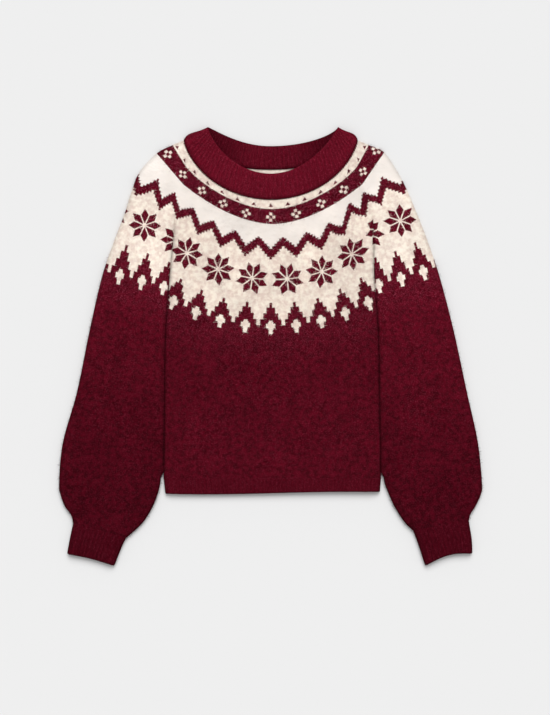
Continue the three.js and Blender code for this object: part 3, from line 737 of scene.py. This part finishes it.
def sleeve(name, side):
    """A sleeve's wall and its outer skin."""
    rings = sleeve_rings(side)
    length = rings["length"]
    roll = np.minimum(SLEEVE_ROLL, length * 0.3)
    fold, fold_below = np.minimum(FOLD_ON_TOP, length * 0.5), np.minimum(FOLD_BELOW, length * 0.3)
    on_top = stations(length, roll, fold, 6, 34, 12)
    below = stations(length, roll, fold_below, 5, 34, 5)
    layers = sleeve_layer(rings, "front", on_top, roll, fold), sleeve_layer(rings, "back", below, roll, fold_below)
    joined_layers = (np.concatenate([a, b[:, ::-1][:, 1:]], 1) for a, b in zip(*layers))
    x, y, skin_z, inner_x, inner_y, lining_z, share = joined_layers
    outer = np.stack([side * x, y, skin_z], -1)
    inner = np.stack([side * inner_x, inner_y, lining_z], -1)
    corners = sleeve_counts(side, rings, x, y, share, on_top.shape[1])
    # painted light and shade down the sleeve, with painted shade in the groove at the join and along the outer fold
    fold_painted_shade = FOLD_SHADE * np.exp(-(((1 - share) * length / FOLD_SHADE_WIDTH) ** 2))
    tone = np.interp(y, *zip(*PAINTED_SHADING_DOWN_SLEEVES[side])) * (1 - groove_painted_shade(share * length, rings["turn"])) * (1 - fold_painted_shade)
    if side < 0:
        outer, inner, tone, corners = outer[:, ::-1], inner[:, ::-1], tone[:, ::-1], turned_corners(corners)
    return cloth_wall(name, outer, inner, corners, tone)


left_sleeve, left_skin = sleeve("left_sleeve_knit", -1)
right_sleeve, right_skin = sleeve("right_sleeve_knit", 1)

# %% [markdown]
# The bands are one by one rib: a column of plain stitches stands up and a column of purl lies back, which makes
# them springy. The relief is real height, because it breaks the light and the outline. Each band is a
# flattened ring with a closed section, so its free edge is round: the neckband is doubled and thick, the hem
# and cuffs are single and end in a rounded cast-off edge.

# %% A ribbed band
RIB_PITCH = 6.0
MESH_STEPS_PER_RIB = 6
STITCHES_DOWN_BAND = 16
LOWEST_POINT = 0.02
# painted shade at a band's folds, and painted shade in its purl columns between the ribs
FOLD_SHADE_IN_RIB, RIB_SHADE = 0.3, 0.08


def band_section(rows, is_free_at_start):
    """The loop round a band's section: shares down the band, and through it from outside, 0, to inside, 1."""
    down = np.linspace(0.04, 0.88, rows)
    loop = [(0.0, 0.5), (0.0, 0.18)] + [(d, 0.0) for d in down]
    loop += [(0.94, 0.05), (0.98, 0.2), (1.0, 0.5), (0.98, 0.8), (0.94, 0.95)]
    loop = np.array(loop + [(d, 1.0) for d in down[::-1]] + [(0.0, 0.82)])
    return np.stack([1 - loop[:, 0], loop[:, 1]], -1)[::-1] if is_free_at_start else loop


def ribbed_band(name, front, back, size, relief, section, lift, tone):
    """A flattened ribbed ring between two lines. size: height, wall, width of the folds, in mm."""
    height, wall, fold = size
    share = np.linspace(0, 1, 400)
    line = np.stack(front(share, 0.5 + 0 * share), -1)
    length = np.linalg.norm(np.diff(line, axis=0), axis=-1).sum()
    middle_steps = int(round((length - 2 * fold) / (RIB_PITCH / MESH_STEPS_PER_RIB)))
    share = (stations(np.array([[length]]), fold, fold, 8, middle_steps, 8) / length)[0]
    is_back = (np.arange(2 * len(share) - 2) >= len(share))[:, None]
    down, through = section[None, :, 0], section[None, :, 1]
    share = np.concatenate([share, share[::-1][1:-1]])[:, None] + 0 * down
    place = mix(share, mix(wall / length, 1 - wall / length, share), through)
    down_here = down + 0 * place
    x, y = (np.where(is_back, *both) for both in zip(back(place, down_here), front(place, down_here)))
    from_fold = np.minimum(share, 1 - share) * length
    wave = np.cos(2 * math.pi * (share - 0.5) * length / RIB_PITCH)
    ends = 0.45 + 0.55 * smooth(np.minimum(down, 1 - down) / 0.12)
    rib = height / 2 - wall * through + relief * wave * ends * (1 - 2 * through)
    z = height / 2 + (np.where(is_back, -1.0, 1.0) * rib + lift(share, down)) * round_off(from_fold, fold)
    points = np.stack([x, y, np.maximum(z, LOWEST_POINT)], -1)
    number = np.pad(np.arange(x.size).reshape(x.shape), ((0, 1), (0, 1)), mode="wrap")
    faces = grid_faces(number)[:, ::-1]
    columns = np.arange(len(number))[:, None] / 3.0 + 0 * number
    rows = STITCHES_DOWN_BAND * np.pad(down, ((0, 0), (0, 1)), mode="wrap") + 0 * number
    corners = np.stack([at_corners(columns), at_corners(rows)], -1).reshape(-1, 4, 2)[:, ::-1]
    # painted shade at the folds of the band, and in the purl columns between the ribs
    folded = FOLD_SHADE_IN_RIB * np.exp(-((from_fold / FOLD_SHADE_WIDTH) ** 2))
    band_painted_shading = tone(x, down, is_back, through) * (1 + RIB_SHADE * wave * ends) * (1 - folded)
    ring = mesh_object(name, points, faces, corners, band_painted_shading)
    print(name, "has", len(faces), "faces and", round(length / RIB_PITCH), "ribs in front")
    return ring


# %% Neckband
def neckband_line(layer):
    """The neckband's points from its free edge, 0, to its seam, 1."""
    def line(share, down):
        edge_x, edge_y = neck_line(NECK_EDGE, layer, share)
        seam_x, seam_y = neck_line(NECK_SEAM, layer, share, SEAM_CLEARANCE)
        # the folds round outwards near the seam
        corner = 4 * smooth(1 - np.minimum(share, 1 - share) / 0.08) * np.sin(math.pi * down ** 2.2)
        outwards = np.where(share < 0.5, -0.49, 0.49)
        return mix(edge_x, seam_x, down) + corner * outwards, mix(edge_y, seam_y, down) + corner * 0.87
    return line


def neckband_painted_shading(x, down, is_back, through):
    """Brighter on the front; painted shade inside the back, deepest where the front lies over it, and beside its
    edges.
    """
    inside = is_back * through * (0.12 + 0.5 * smooth(np.abs(x) / 100) ** 1.5)
    edges = 0.35 * smooth((down - 0.9) / 0.07) + 0.3 * is_back * smooth((0.08 - down) / 0.06)
    return (1.37 - 0.13 * is_back - inside) * (1 - edges)


def hem_painted_shading(x, down, is_back, through):
    """Darker than the body, with painted shade where the cast-off edge turns under."""
    return 0.84 - 0.25 * smooth((down - 0.9) / 0.1)


def cuff_painted_shading(x, down, is_back, through):
    """As dark as the painted shade at the end of the sleeve, with more painted shade where the cast-off edge turns
    under.
    """
    return 0.65 - 0.2 * smooth((down - 0.92) / 0.08)


NECKBAND_SIZE, HEM_SIZE, CUFF_SIZE = (9.8, 4.4, 14.0), (8.2, 2.8, 12.0), (9.0, 2.8, 12.0)
NECKBAND_RELIEF, BAND_RELIEF = 0.5, 0.42
neckband = ribbed_band(
    "neckband_rib", neckband_line("front"), neckband_line("back"), NECKBAND_SIZE, NECKBAND_RELIEF,
    band_section(9, True), lambda share, down: 0.5 * np.sin(math.pi * down), neckband_painted_shading,
)


# %% Hem band
def hem_wave(share):
    """The hem's gentle wave, from -1 to 1."""
    return np.sin(share * 0.75 * 2 * math.pi - 2.42)


def hem_lift(share):
    """How far the wave lifts the hem's free edge."""
    return 1.4 * (0.5 + hem_wave(share) / 2)


def hem_line(share, down):
    """The hem band's points, from the panel above, 0, to its free edge, 1."""
    x = mix(mix(-161.0, -158.3, down), mix(165.6, 164.0, down), share)
    return x, mix(-197.3, -219.9, down) + 2.0 * down * hem_wave(share)


hem = ribbed_band(
    "hem_rib", hem_line, hem_line, HEM_SIZE, BAND_RELIEF, band_section(6, False),
    lambda share, down: hem_lift(share) * down, hem_painted_shading,
)

# %% Cuffs
COLUMNS_OF_CUFF = ("in_x", "in_y", "out_x", "out_y", "sag")
LEFT_CUFF = [(216.5, -286.2, 296.8, -265.0, 0), (225.0, -304.0, 301.8, -288.5, 1), (234.8, -329.5, 306.0, -311.5, 2)]
RIGHT_CUFF = [(213.2, -275.0, 297.4, -262.0, 0), (222.2, -299.0, 301.9, -288.5, 3), (231.8, -329.5, 303.0, -311.0, 7)]


def cuff_line(table, side):
    """A cuff's points from the sleeve, 0, to its free edge, 1."""
    def line(share, down):
        shape = np.broadcast(share, down).shape
        down_grid = np.broadcast_to(down, shape)
        row = rows_at(table, COLUMNS_OF_CUFF, down_grid.ravel() * 2)
        row = {key: value[:, 0].reshape(shape) for key, value in row.items()}
        outwards = 1 - share if side < 0 else share
        x = mix(row["in_x"], row["out_x"], outwards)
        return side * x, mix(row["in_y"], row["out_y"], outwards) + row["sag"] * np.sin(outwards * math.pi)
    return line


CUFF_LINES = {"left": cuff_line(LEFT_CUFF, -1), "right": cuff_line(RIGHT_CUFF, 1)}
left_cuff, right_cuff = (
    ribbed_band(
        side_name + "_cuff_rib", line, line, CUFF_SIZE, BAND_RELIEF, band_section(9, False),
        lambda share, down: 0.3 * np.sin(share * 9) * down, cuff_painted_shading,
    )
    for side_name, line in CUFF_LINES.items()
)

# %% [markdown]
# The yoke's motifs are old ones that knitters share: small marks, four-dot flowers, a zigzag, eight-petalled
# stars, and spires with a little tree under each. A printed picture would be flat and fixed, so the chart is
# a node group that works each motif out from the two counts. PINGPONG folds the stitch count so that every
# repeat is the same, and COMPARE is 1 within a distance of a value.

# %% The yoke's chart

def new_group(name, kind, inputs, outputs):
    """A node group with these named sockets: the group, its inputs by name, and their identifiers."""
    group = bpy.data.node_groups.new(name, kind)
    identifiers = {}
    for way, sockets in (("INPUT", inputs), ("OUTPUT", outputs)):
        for socket_name, socket_kind in sockets.items():
            socket = group.interface.new_socket(socket_name, in_out=way, socket_type="NodeSocket" + socket_kind)
            identifiers[way, socket_name] = socket.identifier
    given = add_node(group, "NodeGroupInput")
    return group, given.outputs, {key: identifiers["INPUT", key] for key in inputs}


chart, given, _ = new_group(
    "yoke_chart", "ShaderNodeTree", {"Stitches": "Vector"}, {"Burgundy": "Float", "White": "Float"},
)
counts = add_node(chart, "ShaderNodeSeparateXYZ", inputs={0: given["Stitches"]}).outputs
stitch, row = Sum(counts[0]), Sum(counts[1])


def near(value, middle, reach):
    """1 within a distance of a value, otherwise 0."""
    return value.then("COMPARE", middle, reach)


by_12, by_16, by_24 = (stitch.then("PINGPONG", half_repeat) for half_repeat in (6, 8, 12))
# small three-cornered marks in the first strip
marks = (by_12 < (row - 3.3) * 0.95) * near(row, 4.2, 0.9)
# four dots round a middle
flower_y = (row - 11.5).then("ABSOLUTE")
flower = near(by_16, 0, 0.9) * near(flower_y, 1.95, 0.9) + near(by_16, 1.95, 0.9) * near(flower_y, 0, 0.9)
# the zigzag, in steps of a fifth of its half repeat
zigzag_y = (row - 25) * 0.595 + (by_16 * 0.625).then("ROUND")
# the eight-petalled star: each petal is a kite that points half way between two of its eight lines
star_x, star_y = (by_24 * -1 + 12) * 1.467, (row - STAR_ROW).then("ABSOLUTE") * 1.487
small, large = star_x.then("MINIMUM", star_y), star_x.then("MAXIMUM", star_y)
off_line, off_diagonal = small - 0.6, (large - small) * 0.707 - 0.6
petal_along, petal_across = large * 0.924 + small * 0.383, (large * 0.383 - small * 0.924).then("ABSOLUTE")
from_tip, from_heart = petal_across * -1.7 + 16.6 - petal_along, petal_along - 2.2
star = off_line.then("MINIMUM", off_diagonal).then("MINIMUM", from_tip).then("MINIMUM", from_heart) > 0
# spires in tiers of four rows, each two stitches wider, and the little tree under each
tier = ((row - 68.6) * 0.25).then("FLOOR")
spire = by_16 < (tier > 3.5) * 9 + (tier * 1.98 + 0.95)
tree_row = (row - 81.5).then("FLOOR")
tree_half = ((tree_row - 3).then("ABSOLUTE") * -1.3 + 4.2).then("MINIMUM", 2.9).then("MAXIMUM", 1.2)
tree = (by_16 < tree_half) * near(tree_row, 4, 4.4)
# each band has its own rows, and all below them is plain
in_zigzag = near(row, 33, 8)
burgundy = (row < 6) * marks + (row > 91) + near(row, 11, 5) * (flower < 0.5) + in_zigzag * near(zigzag_y, 6.8, 2.1)
burgundy = burgundy + near(row, 55, 14) * star + near(row, 80, 11) * spire * (tree < 0.5)
white = in_zigzag * (zigzag_y < 4.7) + near(row, 20.5, 4.5)
add_node(chart, "NodeGroupOutput", inputs={"Burgundy": burgundy.then("MINIMUM", 1), "White": white})
print("nodes in the chart:", len(chart.nodes))

# %% [markdown]
# Brushed wool: yarn spun from dyed fleece of several shades and raised with a brush, so it has no shine, a deep
# colour flecked with paler hairs, and edges of the pattern that fray into each other. The chart is read twice,
# with the counts nudged by noise, so that a few hairs of each colour cross into the next. The stitches
# themselves are 2.3 mm wide, about a pixel and a half, and show only as a fine grain.

# %% Wool of the knit
BURGUNDY, BURGUNDY_DARK, BURGUNDY_HAIR = linear("#5B0A1B"), linear("#400610"), linear("#B24860")
CREAM, CREAM_SHADE, WHITE, BLUSH = linear("#F7EDDF"), linear("#E3D0C4"), linear("#F3EBE4"), linear("#D2707F")
WOOL_SURFACE = {
    "Roughness": 1.0, "Specular IOR Level": 0.0,
    "Sheen Weight": 0.012, "Sheen Roughness": 0.55, "Sheen Tint": linear("#E8C4C4"),
}
# scale and detail of each noise: hairs about 1.2 mm apart, shades of fleece about 6 mm, patches about 40 mm
HAIRS, FLEECE, PATCHES = (820, 2.0), (170, 3.0), (24, 2.0)
# in a rib the shades of the fleece run down the columns of stitches, about 3 mm wide
RIB_FLEECE, RIB_STRETCH = (1.5, 3.0), (1.0, 0.22, 1.0)
SPREAD_IN_KNIT, SPREAD_IN_RIB = 0.14, 0.26
# how far the two readings of the chart are nudged, in stitches, and the scale of the noise that does it
NUDGES = ((0.5, 330), (1.5, 760))
STITCH_BUMP = 0.0009


def add_noise(tree, place, scale, detail):
    """A noise texture."""
    return add_node(tree, "ShaderNodeTexNoise", inputs={"Vector": place, "Scale": scale, "Detail": detail})


def add_range(tree, *values):
    """A value mapped from one range to another: value, from low, high, to low, high."""
    return add_node(tree, "ShaderNodeMapRange", inputs=dict(enumerate(values)))


def add_mix(tree, share, start, end):
    """A colour part of the way from one to another."""
    return add_node(tree, "ShaderNodeMix", {"data_type": "RGBA"}, {0: share, 6: start, 7: end}).outputs[2]


def patterned_colour(tree, place, stitches, dark, ground):
    """The yoke's pattern in cream and white on the burgundy ground."""
    readings = []
    for amount, grain in NUDGES:
        grains = add_noise(tree, place, grain, 1.0).outputs["Color"]
        centred = add_vector_maths(tree, "SUBTRACT", grains, (0.5, 0.5, 0.5))
        nudged = add_vector_maths(tree, "MULTIPLY_ADD", centred, (amount, amount, 0), stitches)
        readings.append(add_node(tree, "ShaderNodeGroup", {"node_tree": chart}, {"Stitches": nudged}).outputs)
    burgundy = {0: 0.3, 2: readings[0]["Burgundy"], 3: readings[1]["Burgundy"]}
    burgundy = add_node(tree, "ShaderNodeMix", {"data_type": "FLOAT"}, burgundy)
    pale = add_mix(tree, readings[0]["White"], add_mix(tree, dark, CREAM_SHADE, CREAM), WHITE)
    # where hairs of both colours cross, light that has passed through the red ones is pink
    return add_mix(tree, burgundy, pale, add_mix(tree, burgundy, BLUSH, ground))


def wool_material(name, is_patterned, bump_strength, lighten):
    """Brushed wool. lighten: how much paler its hairs are than the yarn."""
    wool, shader = add_material(name, WOOL_SURFACE)
    tree = wool.node_tree
    place = add_node(tree, "ShaderNodeTexCoord").outputs["Object"]
    tone = add_node(tree, "ShaderNodeAttribute", {"attribute_name": "tone"}).outputs["Fac"]
    stitches = add_node(tree, "ShaderNodeAttribute", {"attribute_name": "stitches"}).outputs["Vector"]
    stitch, row = add_node(tree, "ShaderNodeSeparateXYZ", inputs={0: stitches}).outputs[:2]
    if is_patterned:
        fleece, spread = add_noise(tree, place, *FLEECE), SPREAD_IN_KNIT
    else:
        fleece = add_noise(tree, add_vector_maths(tree, "MULTIPLY", stitches, RIB_STRETCH), *RIB_FLEECE)
        spread = SPREAD_IN_RIB
    dark = add_range(tree, fleece, 0.5 - spread, 0.5 + spread, 0.0, 1.0)
    flecks = add_range(tree, add_noise(tree, place, *HAIRS), 0.52, 0.78, 0.0, 0.3 + lighten)
    shade = add_range(tree, add_noise(tree, place, *PATCHES), 0.3, 0.7, 0.92, 1.08)
    if is_patterned:
        # the brushed yoke mixes its two colours, so more pale hairs lie on the burgundy there
        flecks = Sum(flecks) * add_range(tree, row, 86.0, 112.0, 2.7, 1.0)
    colour = add_mix(tree, flecks, add_mix(tree, dark, BURGUNDY_DARK, BURGUNDY), BURGUNDY_HAIR)
    if is_patterned:
        colour = patterned_colour(tree, place, stitches, dark, colour)
    # the colour is scaled by random patches of fleece and by each point's painted light and shade
    shaded = {0: colour, "Scale": Sum(shade) * tone}
    set_inputs(shader, {"Base Color": add_node(tree, "ShaderNodeVectorMath", {"operation": "SCALE"}, shaded)})
    if bump_strength:
        # each stitch is a small V: its two legs lean up and out from the middle of the column
        leg = (Sum(stitch).then("PINGPONG", 0.5) * 1.1 + row).then("PINGPONG", 0.5)
        bump = {"Strength": bump_strength, "Distance": STITCH_BUMP, "Height": Sum(fleece) * 2.2 + leg}
        set_inputs(shader, {"Normal": add_node(tree, "ShaderNodeBump", inputs=bump)})
    return wool


brushed_wool = wool_material("brushed_wool_knit", True, 0.55, 0.0)
wool_hairs = wool_material("brushed_wool_hairs", True, 0.0, 0.15)
rib_wool = wool_material("wool_rib", False, 0.45, 0.0)
for thing in (front, back, left_sleeve, right_sleeve):
    thing.data.materials.append(brushed_wool)
for thing in (neckband, hem, left_cuff, right_cuff):
    thing.data.materials.append(rib_wool)
print("materials:", brushed_wool.name, wool_hairs.name, rib_wool.name)

# %% [markdown]
# Brushing leaves a nap: thousands of short hairs that stand off the cloth, blur the pattern and soften the
# outline. Particle hair would not travel with the part, so a node tree scatters points on the outer skin and
# sets a short bent blade on each, tilted at random. Each keeps the counts of its root, and so the colour of its
# stitch. The blades are 0.3 mm wide, coarser than real hairs, so that they show.

# %% A tree that grows hairs
THINNING, DROOP = -0.75, -0.4
LEAST_LEAN, MOST_LEAN = (0.25, -0.4, 0.0), (1.15, 0.4, 6.283)
LEAST_SIZE, MOST_SIZE = 0.55, 1.35
LOWEST_HAIR = 0.0002

nap_tree, given, NAP_INPUTS = new_group(
    "nap", "GeometryNodeTree",
    {"Geometry": "Geometry", "Density": "Float", "Hair Length": "Float", "Hair Width": "Float", "Seed": "Int"},
    {"Geometry": "Geometry"},
)
nap = functools.partial(add_node, nap_tree)
hair_length, seed = given["Hair Length"], given["Seed"]
scattered = {"Mesh": given["Geometry"], "Density": given["Density"], "Seed": seed}
scattered = nap("GeometryNodeDistributePointsOnFaces", {"distribute_method": "RANDOM"}, scattered)
blade = {"Size X": given["Hair Width"], "Size Y": hair_length, "Vertices X": 2, "Vertices Y": 3}
blade = nap("GeometryNodeMeshGrid", inputs=blade)
across, along = nap("ShaderNodeSeparateXYZ", inputs={0: nap("GeometryNodeInputPosition")}).outputs[:2]
along = Sum(along) / hair_length + 0.5
bent = {0: Sum(across) * (along * THINNING + 1), 1: along * hair_length, 2: along * along * hair_length * DROOP}
bent = nap("ShaderNodeCombineXYZ", inputs=bent)
blade = nap("GeometryNodeSetPosition", inputs={"Geometry": blade, "Position": bent})
lean = {0: LEAST_LEAN, 1: MOST_LEAN, "Seed": seed}
lean = nap("FunctionNodeRandomValue", {"data_type": "FLOAT_VECTOR"}, lean)
turned = {0: scattered.outputs["Rotation"], 1: nap("FunctionNodeEulerToRotation", inputs={0: lean})}
turned = nap("FunctionNodeRotateRotation", {"rotation_space": "LOCAL"}, turned)
size = {2: LEAST_SIZE, 3: MOST_SIZE, "Seed": seed}
size = nap("FunctionNodeRandomValue", {"data_type": "FLOAT"}, size).outputs[1]
planted = {"Points": scattered, "Instance": blade, "Rotation": turned, "Scale": size}
planted = nap("GeometryNodeInstanceOnPoints", inputs=planted)
grown = nap("GeometryNodeRealizeInstances", inputs={"Geometry": planted})
pressed = nap("GeometryNodeInputPosition")
pressed = add_vector_maths(nap_tree, "MAXIMUM", pressed, (-9.0, -9.0, LOWEST_HAIR))
grown = nap("GeometryNodeSetPosition", inputs={"Geometry": grown, "Position": pressed})
grown = nap("GeometryNodeSetMaterial", inputs={"Geometry": grown, "Material": wool_hairs})
nap("NodeGroupOutput", inputs={"Geometry": grown})
print("nap inputs:", sorted(NAP_INPUTS))


# %% Growing the nap
def run_tree(source, name, tree, identifiers, values):
    """A plain mesh object made by a node tree from a source object, which is then removed."""
    modifier = source.modifiers.new(name, "NODES")
    modifier.node_group = tree
    for key, value in values.items():
        modifier[identifiers[key]] = value
    bpy.context.view_layer.update()
    evaluated = source.evaluated_get(bpy.context.evaluated_depsgraph_get())
    mesh = bpy.data.meshes.new_from_object(evaluated)
    mesh.name = name
    source.modifiers.remove(modifier)
    bpy.data.objects.remove(source)
    return add_to_scene(name, mesh)


HAIR_SIZE = {"Hair Length": 0.0042, "Hair Width": 0.0003}
NAP = (
    ("front_nap", front_skin, 300000.0, 11),
    ("back_nap", back_skin, 110000.0, 12),
    ("left_sleeve_nap", left_skin, 150000.0, 13),
    ("right_sleeve_nap", right_skin, 150000.0, 14),
)
naps = {}
for nap_name, nap_skin, per_square_metre, seed in NAP:
    values = {"Density": per_square_metre, "Seed": seed, **HAIR_SIZE}
    naps[nap_name] = run_tree(nap_skin, nap_name, nap_tree, NAP_INPUTS, values)
    naps[nap_name].data.shade_flat()
    print(nap_name, "has", sum(len(p.vertices) - 2 for p in naps[nap_name].data.polygons), "triangles")

# %% [markdown]
# Where the neckband was picked up round the neck, a row of small slanted stitches shows, and the cast-off
# edges of hem and cuffs end in a row of little loops. Both are one small bead repeated along a line, so one
# node tree makes them: it walks along a curve and sets a bead at each step, turned along the line.

# %% A tree that repeats a loop along a line
LOOP_SLANT = (0.0, 0.0, 0.5)
loop_tree, given, LOOP_INPUTS = new_group(
    "loops_along_edge", "GeometryNodeTree",
    {
        "Geometry": "Geometry", "Spacing": "Float", "Loop Length": "Float", "Loop Width": "Float", "Painted_Shading": "Float",
        "Material": "Material",
    },
    {"Geometry": "Geometry"},
)
loop = functools.partial(add_node, loop_tree)
line = {"Curve": given["Geometry"], "Length": given["Spacing"]}
line = loop("GeometryNodeResampleCurve", {"mode": "LENGTH"}, line)
bead = loop("GeometryNodeMeshIcoSphere", inputs={"Radius": 0.5, "Subdivisions": 2})
size = {0: given["Loop Length"], 1: given["Loop Width"], 2: given["Loop Width"]}
size = loop("ShaderNodeCombineXYZ", inputs=size)
heading = loop("GeometryNodeInputTangent")
facing = loop("FunctionNodeAlignRotationToVector", {"axis": "X"}, {"Vector": heading})
slant = loop("FunctionNodeRotateRotation", {"rotation_space": "LOCAL"}, {0: facing, 1: LOOP_SLANT})
beads = {"Points": line, "Instance": bead, "Rotation": slant, "Scale": size}
beads = loop("GeometryNodeInstanceOnPoints", inputs=beads)
# each bead stores the painted light and shade of its band
for kind, settings, values in (
    ("RealizeInstances", {}, {}),
    ("StoreNamedAttribute", {"data_type": "FLOAT", "domain": "POINT"}, {"Name": "tone", "Value": given["Painted_Shading"]}),
    ("SetShadeSmooth", {}, {}),
    ("SetMaterial", {}, {"Material": given["Material"]}),
):
    beads = loop("GeometryNode" + kind, settings, {"Geometry": beads, **values})
loop("NodeGroupOutput", inputs={"Geometry": beads})


# %% Loops at the seam and the edges
def edge_loops(name, lines, spacing, length, width, tone):
    """Loops along these lines of points in mm."""
    curve = bpy.data.curves.new(name, "CURVE")
    curve.dimensions = "3D"
    for points in lines:
        spline = curve.splines.new("POLY")
        spline.points.add(len(points) - 1)
        spline.points.foreach_set("co", np.concatenate([points * MM, np.ones((len(points), 1))], 1).ravel())
    values = {"Spacing": spacing * MM, "Loop Length": length * MM, "Loop Width": width * MM, "Painted_Shading": tone}
    values["Material"] = rib_wool
    made = run_tree(add_to_scene(name + "_line", curve), name, loop_tree, LOOP_INPUTS, values)
    print(name, "has", len(made.data.polygons), "faces")
    return made


# each line of loops carries the painted light and shade of the band it lies on
share = np.linspace(0.02, 0.98, 200)
seam_front = np.stack([*neck_line(NECK_SEAM, "front", share, -0.4), 7.1 + 0 * share], -1)
loops = {"neck_seam_loops": edge_loops("neck_seam_loops", [seam_front], 3.4, 3.0, 1.1, 1.1)}

share = np.linspace(0.06, 0.94, 160)
# the last number of each is the painted light and shade of its band
EDGES = (
    ("hem_edge_loops", hem_line, HEM_SIZE[0], hem_lift(share), 0.88),
    ("left_cuff_loops", CUFF_LINES["left"], CUFF_SIZE[0], 0, 0.72),
    ("right_cuff_loops", CUFF_LINES["right"], CUFF_SIZE[0], 0, 0.72),
)
for loops_name, edge, band_height, lifted, tone in EDGES:
    x, y = edge(share, 0.985 + 0 * share)
    lines = [np.stack([x, y, z + 0 * share], -1) for z in (band_height - 1.5 + lifted, 1.4)]
    loops[loops_name] = edge_loops(loops_name, lines, 3.0, 2.6, 1.3, tone)

# %% [markdown]
# Last, each piece is tied to the part: it rides on the one body and stands for its solid, which is hidden.
# Each knitted piece is a sheet of cloth, and the table lists the size that it was knitted to.

# %% Pieces and sheets
SHEETS = (
    (front, "front", "knit", (0.335, 0.50), 0.140, ["front_nap"]),
    (back, "back", "knit", (0.335, 0.50), 0.149, ["back_nap"]),
    (left_sleeve, "left_sleeve", "knit", (0.32, 0.62), 0.131, ["left_sleeve_nap"]),
    (right_sleeve, "right_sleeve", "knit", (0.32, 0.62), 0.124, ["right_sleeve_nap"]),
    (neckband, "neckband", "rib", (0.60, 0.045), 0.0245, ["neck_seam_loops"]),
    (hem, "hem_band", "rib", (0.66, 0.022), None, ["hem_edge_loops"]),
    (left_cuff, "left_cuff", "rib", (0.175, 0.045), None, ["left_cuff_loops"]),
    (right_cuff, "right_cuff", "rib", (0.175, 0.045), None, ["right_cuff_loops"]),
)
small_parts = {**naps, **loops}
for part_name, thing in small_parts.items():
    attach(thing, "root")
for thing, node, material_slot, flat, area, extra in SHEETS:
    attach(thing, "root")
    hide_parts(node)
print("pieces:", len(SHEETS) + len(small_parts))
